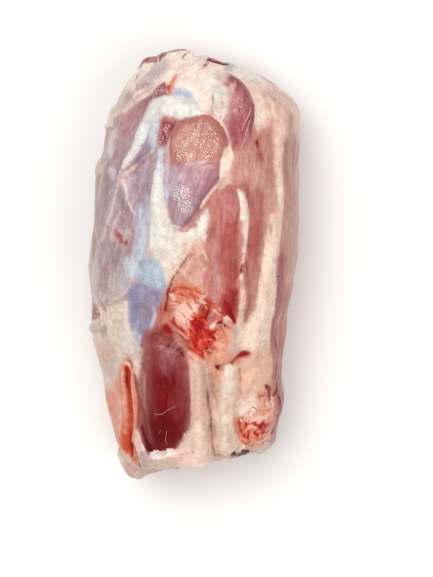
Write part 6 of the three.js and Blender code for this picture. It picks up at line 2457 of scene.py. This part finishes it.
SMALL_PIECES = (
    Threads("white_threads", (
        ((-22.5, -85.5, 0.2), (-18, -85.5, 0.2), (-15.5, -83.5, 0.2), (-11.5, -82, 0.2)),
        ((-16.5, -95.5, 0.2), (-17.5, -101.5, 0.2), (-17, -104.5, 0.2)),
        ((-21.5, -98, 0.1), (-19.5, -94.5, 0.1)),
    ), HAIR),
    Threads("small_veins", (
        ((36.5, -46, 0.2), (41.5, -44.5, 0.3), (43.5, -46, 0.2)),
        ((36.5, -47, 0.2), (36, -52, 0.3), (33.5, -55.5, 0.2)),
        ((31.5, -91, 0.2), (32, -88.5, 0.4), (33.5, -86, 0.4), (35.5, -88.5, 0.4), (36, -91.5, 0.3),
         (34.5, -94, 0.2)),
    ), VEIN, sink=0.6),
    Threads("folds_of_the_kidney_muscle", (
        ((28.5, 83.5, 0.5), (32, 91.5, 0.8), (32, 94.5, 0.4)),
        ((26.5, 79.5, 0.4), (29, 86, 0.5)),
        ((27.5, 73.5, 0.5), (29, 79, 1), (30.5, 83, 1), (32, 86.5, 0.5)),
        ((26, 69, 0.4), (28.5, 74, 0.8), (30, 77, 0.7), (30.5, 80, 0.4)),
    ), PlainTissue("thin pink membrane", "#bb7076", "#d9a0a0", 0.30, patch=4.0), sink=0.6, wiggle=0.4),
    # Pale beads where the meat glistens; their pale colour paints its glints.
    Grains("beads_on_the_oval_muscle", (
        ((-12, 69), (-11, 77), (-6, 82), (1, 86), (8, 85), (13, 79), (14, 70), (10, 63), (1, 58),
         (-10, 60)),
    ), PINK_GLINT_BEADS, per_cm2=125, size=0.55),
    Grains("large_beads_on_the_oval_muscle", (
        ((-11, 71), (-6, 78), (1, 83), (7, 76), (8, 67), (1, 61), (-7, 63)),
        ((-13, 43), (-7, 47), (0, 42), (0, 35), (-5, 28), (-10, 35)),
    ), PINK_GLINT_BEADS, per_cm2=22, size=0.9, seed=84),
    Grains("beads_on_the_silverskin", (
        ((-14, 45), (-7, 48), (0, 43), (1, 36), (-4, 28), (-10, 34)),
        ((-26, -2), (-23, -1), (-20, -7), (-20, -14), (-25, -13)),
    ), WHITE_GLINT_BEADS, per_cm2=110, size=0.55, seed=82),
    Grains("beads_in_the_hollows", (
        ((-28, 105), (-23, 110), (-18, 107), (-14, 102), (-20, 99), (-28, 100)),
        ((-22, 84), (-13, 83), (-17, 77), (-22, 70)),
        ((22, 101), (26, 101), (28, 92), (25, 85), (22, 89)),
        ((-46, 31), (-41, 33), (-41, 24), (-45, 24)),
        ((6, -42), (10, -42), (11, -51), (7, -52)),
    ), PINK_GLINT_BEADS, per_cm2=60, size=0.5, seed=83),
)


# ---------------------------------------------------------------------------------------
# Floor, light and camera
# ---------------------------------------------------------------------------------------

@dataclass(frozen=True)
class Lamp:
    """A square soft light that faces the meat.

    Attributes:
        name: Its name.
        place: Where it hangs, in metres.
        size: Its side, in metres.
        power: Its power, in watts.
    """

    name: str
    place: tuple[float, float, float]
    size: float
    power: float

    def hang(self) -> None:
        """Puts it in the scene."""
        lamp = bpy.data.lights.new(self.name, "AREA")
        lamp.shape, lamp.size, lamp.energy = "SQUARE", self.size, self.power
        holder = bpy.data.objects.new(self.name, lamp)
        holder.location = self.place
        holder.rotation_euler = (-Vector(self.place)).to_track_quat("-Z", "Y").to_euler()
        bpy.context.scene.collection.objects.link(holder)


@dataclass
class Studio:
    """A plain pale floor, soft light from above and a camera that looks straight down.

    Attributes:
        floor_colour: Colour of the floor.
        floor_half: Half the floor's side, in metres.
        sky_strength: Light from all round.
        lamps: The lights.
        lens, sensor: Focal length and sensor width of the camera, in millimetres.
        camera_spot: Where the camera hangs over, in millimetres.
        level: Height at which the frame has its scale, in millimetres.
    """

    floor_colour: str = "#f4f2ef"
    floor_half: float = 3.0
    sky_strength: float = 0.62
    lamps: tuple[Lamp, ...] = (Lamp("key", (-0.45, 0.35, 1.5), 1.1, 15.5),
                               Lamp("fill", (0.7, -0.4, 1.3), 1.0, 6.0))
    lens: float = 200.0
    sensor: float = 36.0
    camera_spot: tuple[float, float] = (13.5, -14.7)
    level: float = 60.0

    def build(self) -> None:
        """Makes the floor, the lights and the camera."""
        self.lay_floor()
        for lamp in self.lamps:
            lamp.hang()
        world = bpy.data.worlds.new("soft sky")
        world.use_nodes = True
        background = world.node_tree.nodes["Background"]
        background.inputs["Color"].default_value = (1.0, 1.0, 1.0, 1.0)
        background.inputs["Strength"].default_value = self.sky_strength
        bpy.context.scene.world = world
        bpy.context.scene.view_settings.view_transform = "Standard"
        self.set_camera()

    def lay_floor(self) -> None:
        """A wide flat sheet under the meat."""
        size = self.floor_half
        mesh = bpy.data.meshes.new("floor")
        mesh.from_pydata([(-size, -size, 0), (size, -size, 0), (size, size, 0), (-size, size, 0)], [],
                         [(0, 1, 2, 3)])
        # Plain and dull, so that the eye sees only the soft shadow of the meat on it.
        material = bpy.data.materials.new("matt white board")
        material.use_nodes = True
        shader = material.node_tree.nodes["Principled BSDF"]
        shader.inputs["Base Color"].default_value = paint(self.floor_colour)
        shader.inputs["Roughness"].default_value = 0.85
        mesh.materials.append(material)
        floor = bpy.data.objects.new("floor", mesh)
        bpy.context.scene.collection.objects.link(floor)

    def set_camera(self) -> None:
        """Places the camera so that the frame shows the meat at its scale."""
        camera = bpy.data.cameras.new("camera")
        camera.lens, camera.sensor_width = self.lens, self.sensor
        camera.dof.use_dof = False
        seen = PHOTO_SIZE[1] * MM_PER_PIXEL * MM
        holder = bpy.data.objects.new("camera", camera)
        x, y = self.camera_spot
        holder.location = (x * MM, y * MM, self.level * MM + seen * self.lens / self.sensor)
        bpy.context.scene.collection.objects.link(holder)
        bpy.context.scene.camera = holder


def main() -> None:
    """Builds the meat and what lies on it, and sets up the studio."""
    logging.basicConfig(level=logging.INFO, format="%(message)s")
    Studio().build()
    shank, skin = Shank().build()
    shank.data.materials.append(WetMeat().dress())
    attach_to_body(shank, BODY)
    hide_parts(NODE)
    for piece in SMALL_PIECES:
        piece.build(skin)


if __name__ == "__main__":
    main()
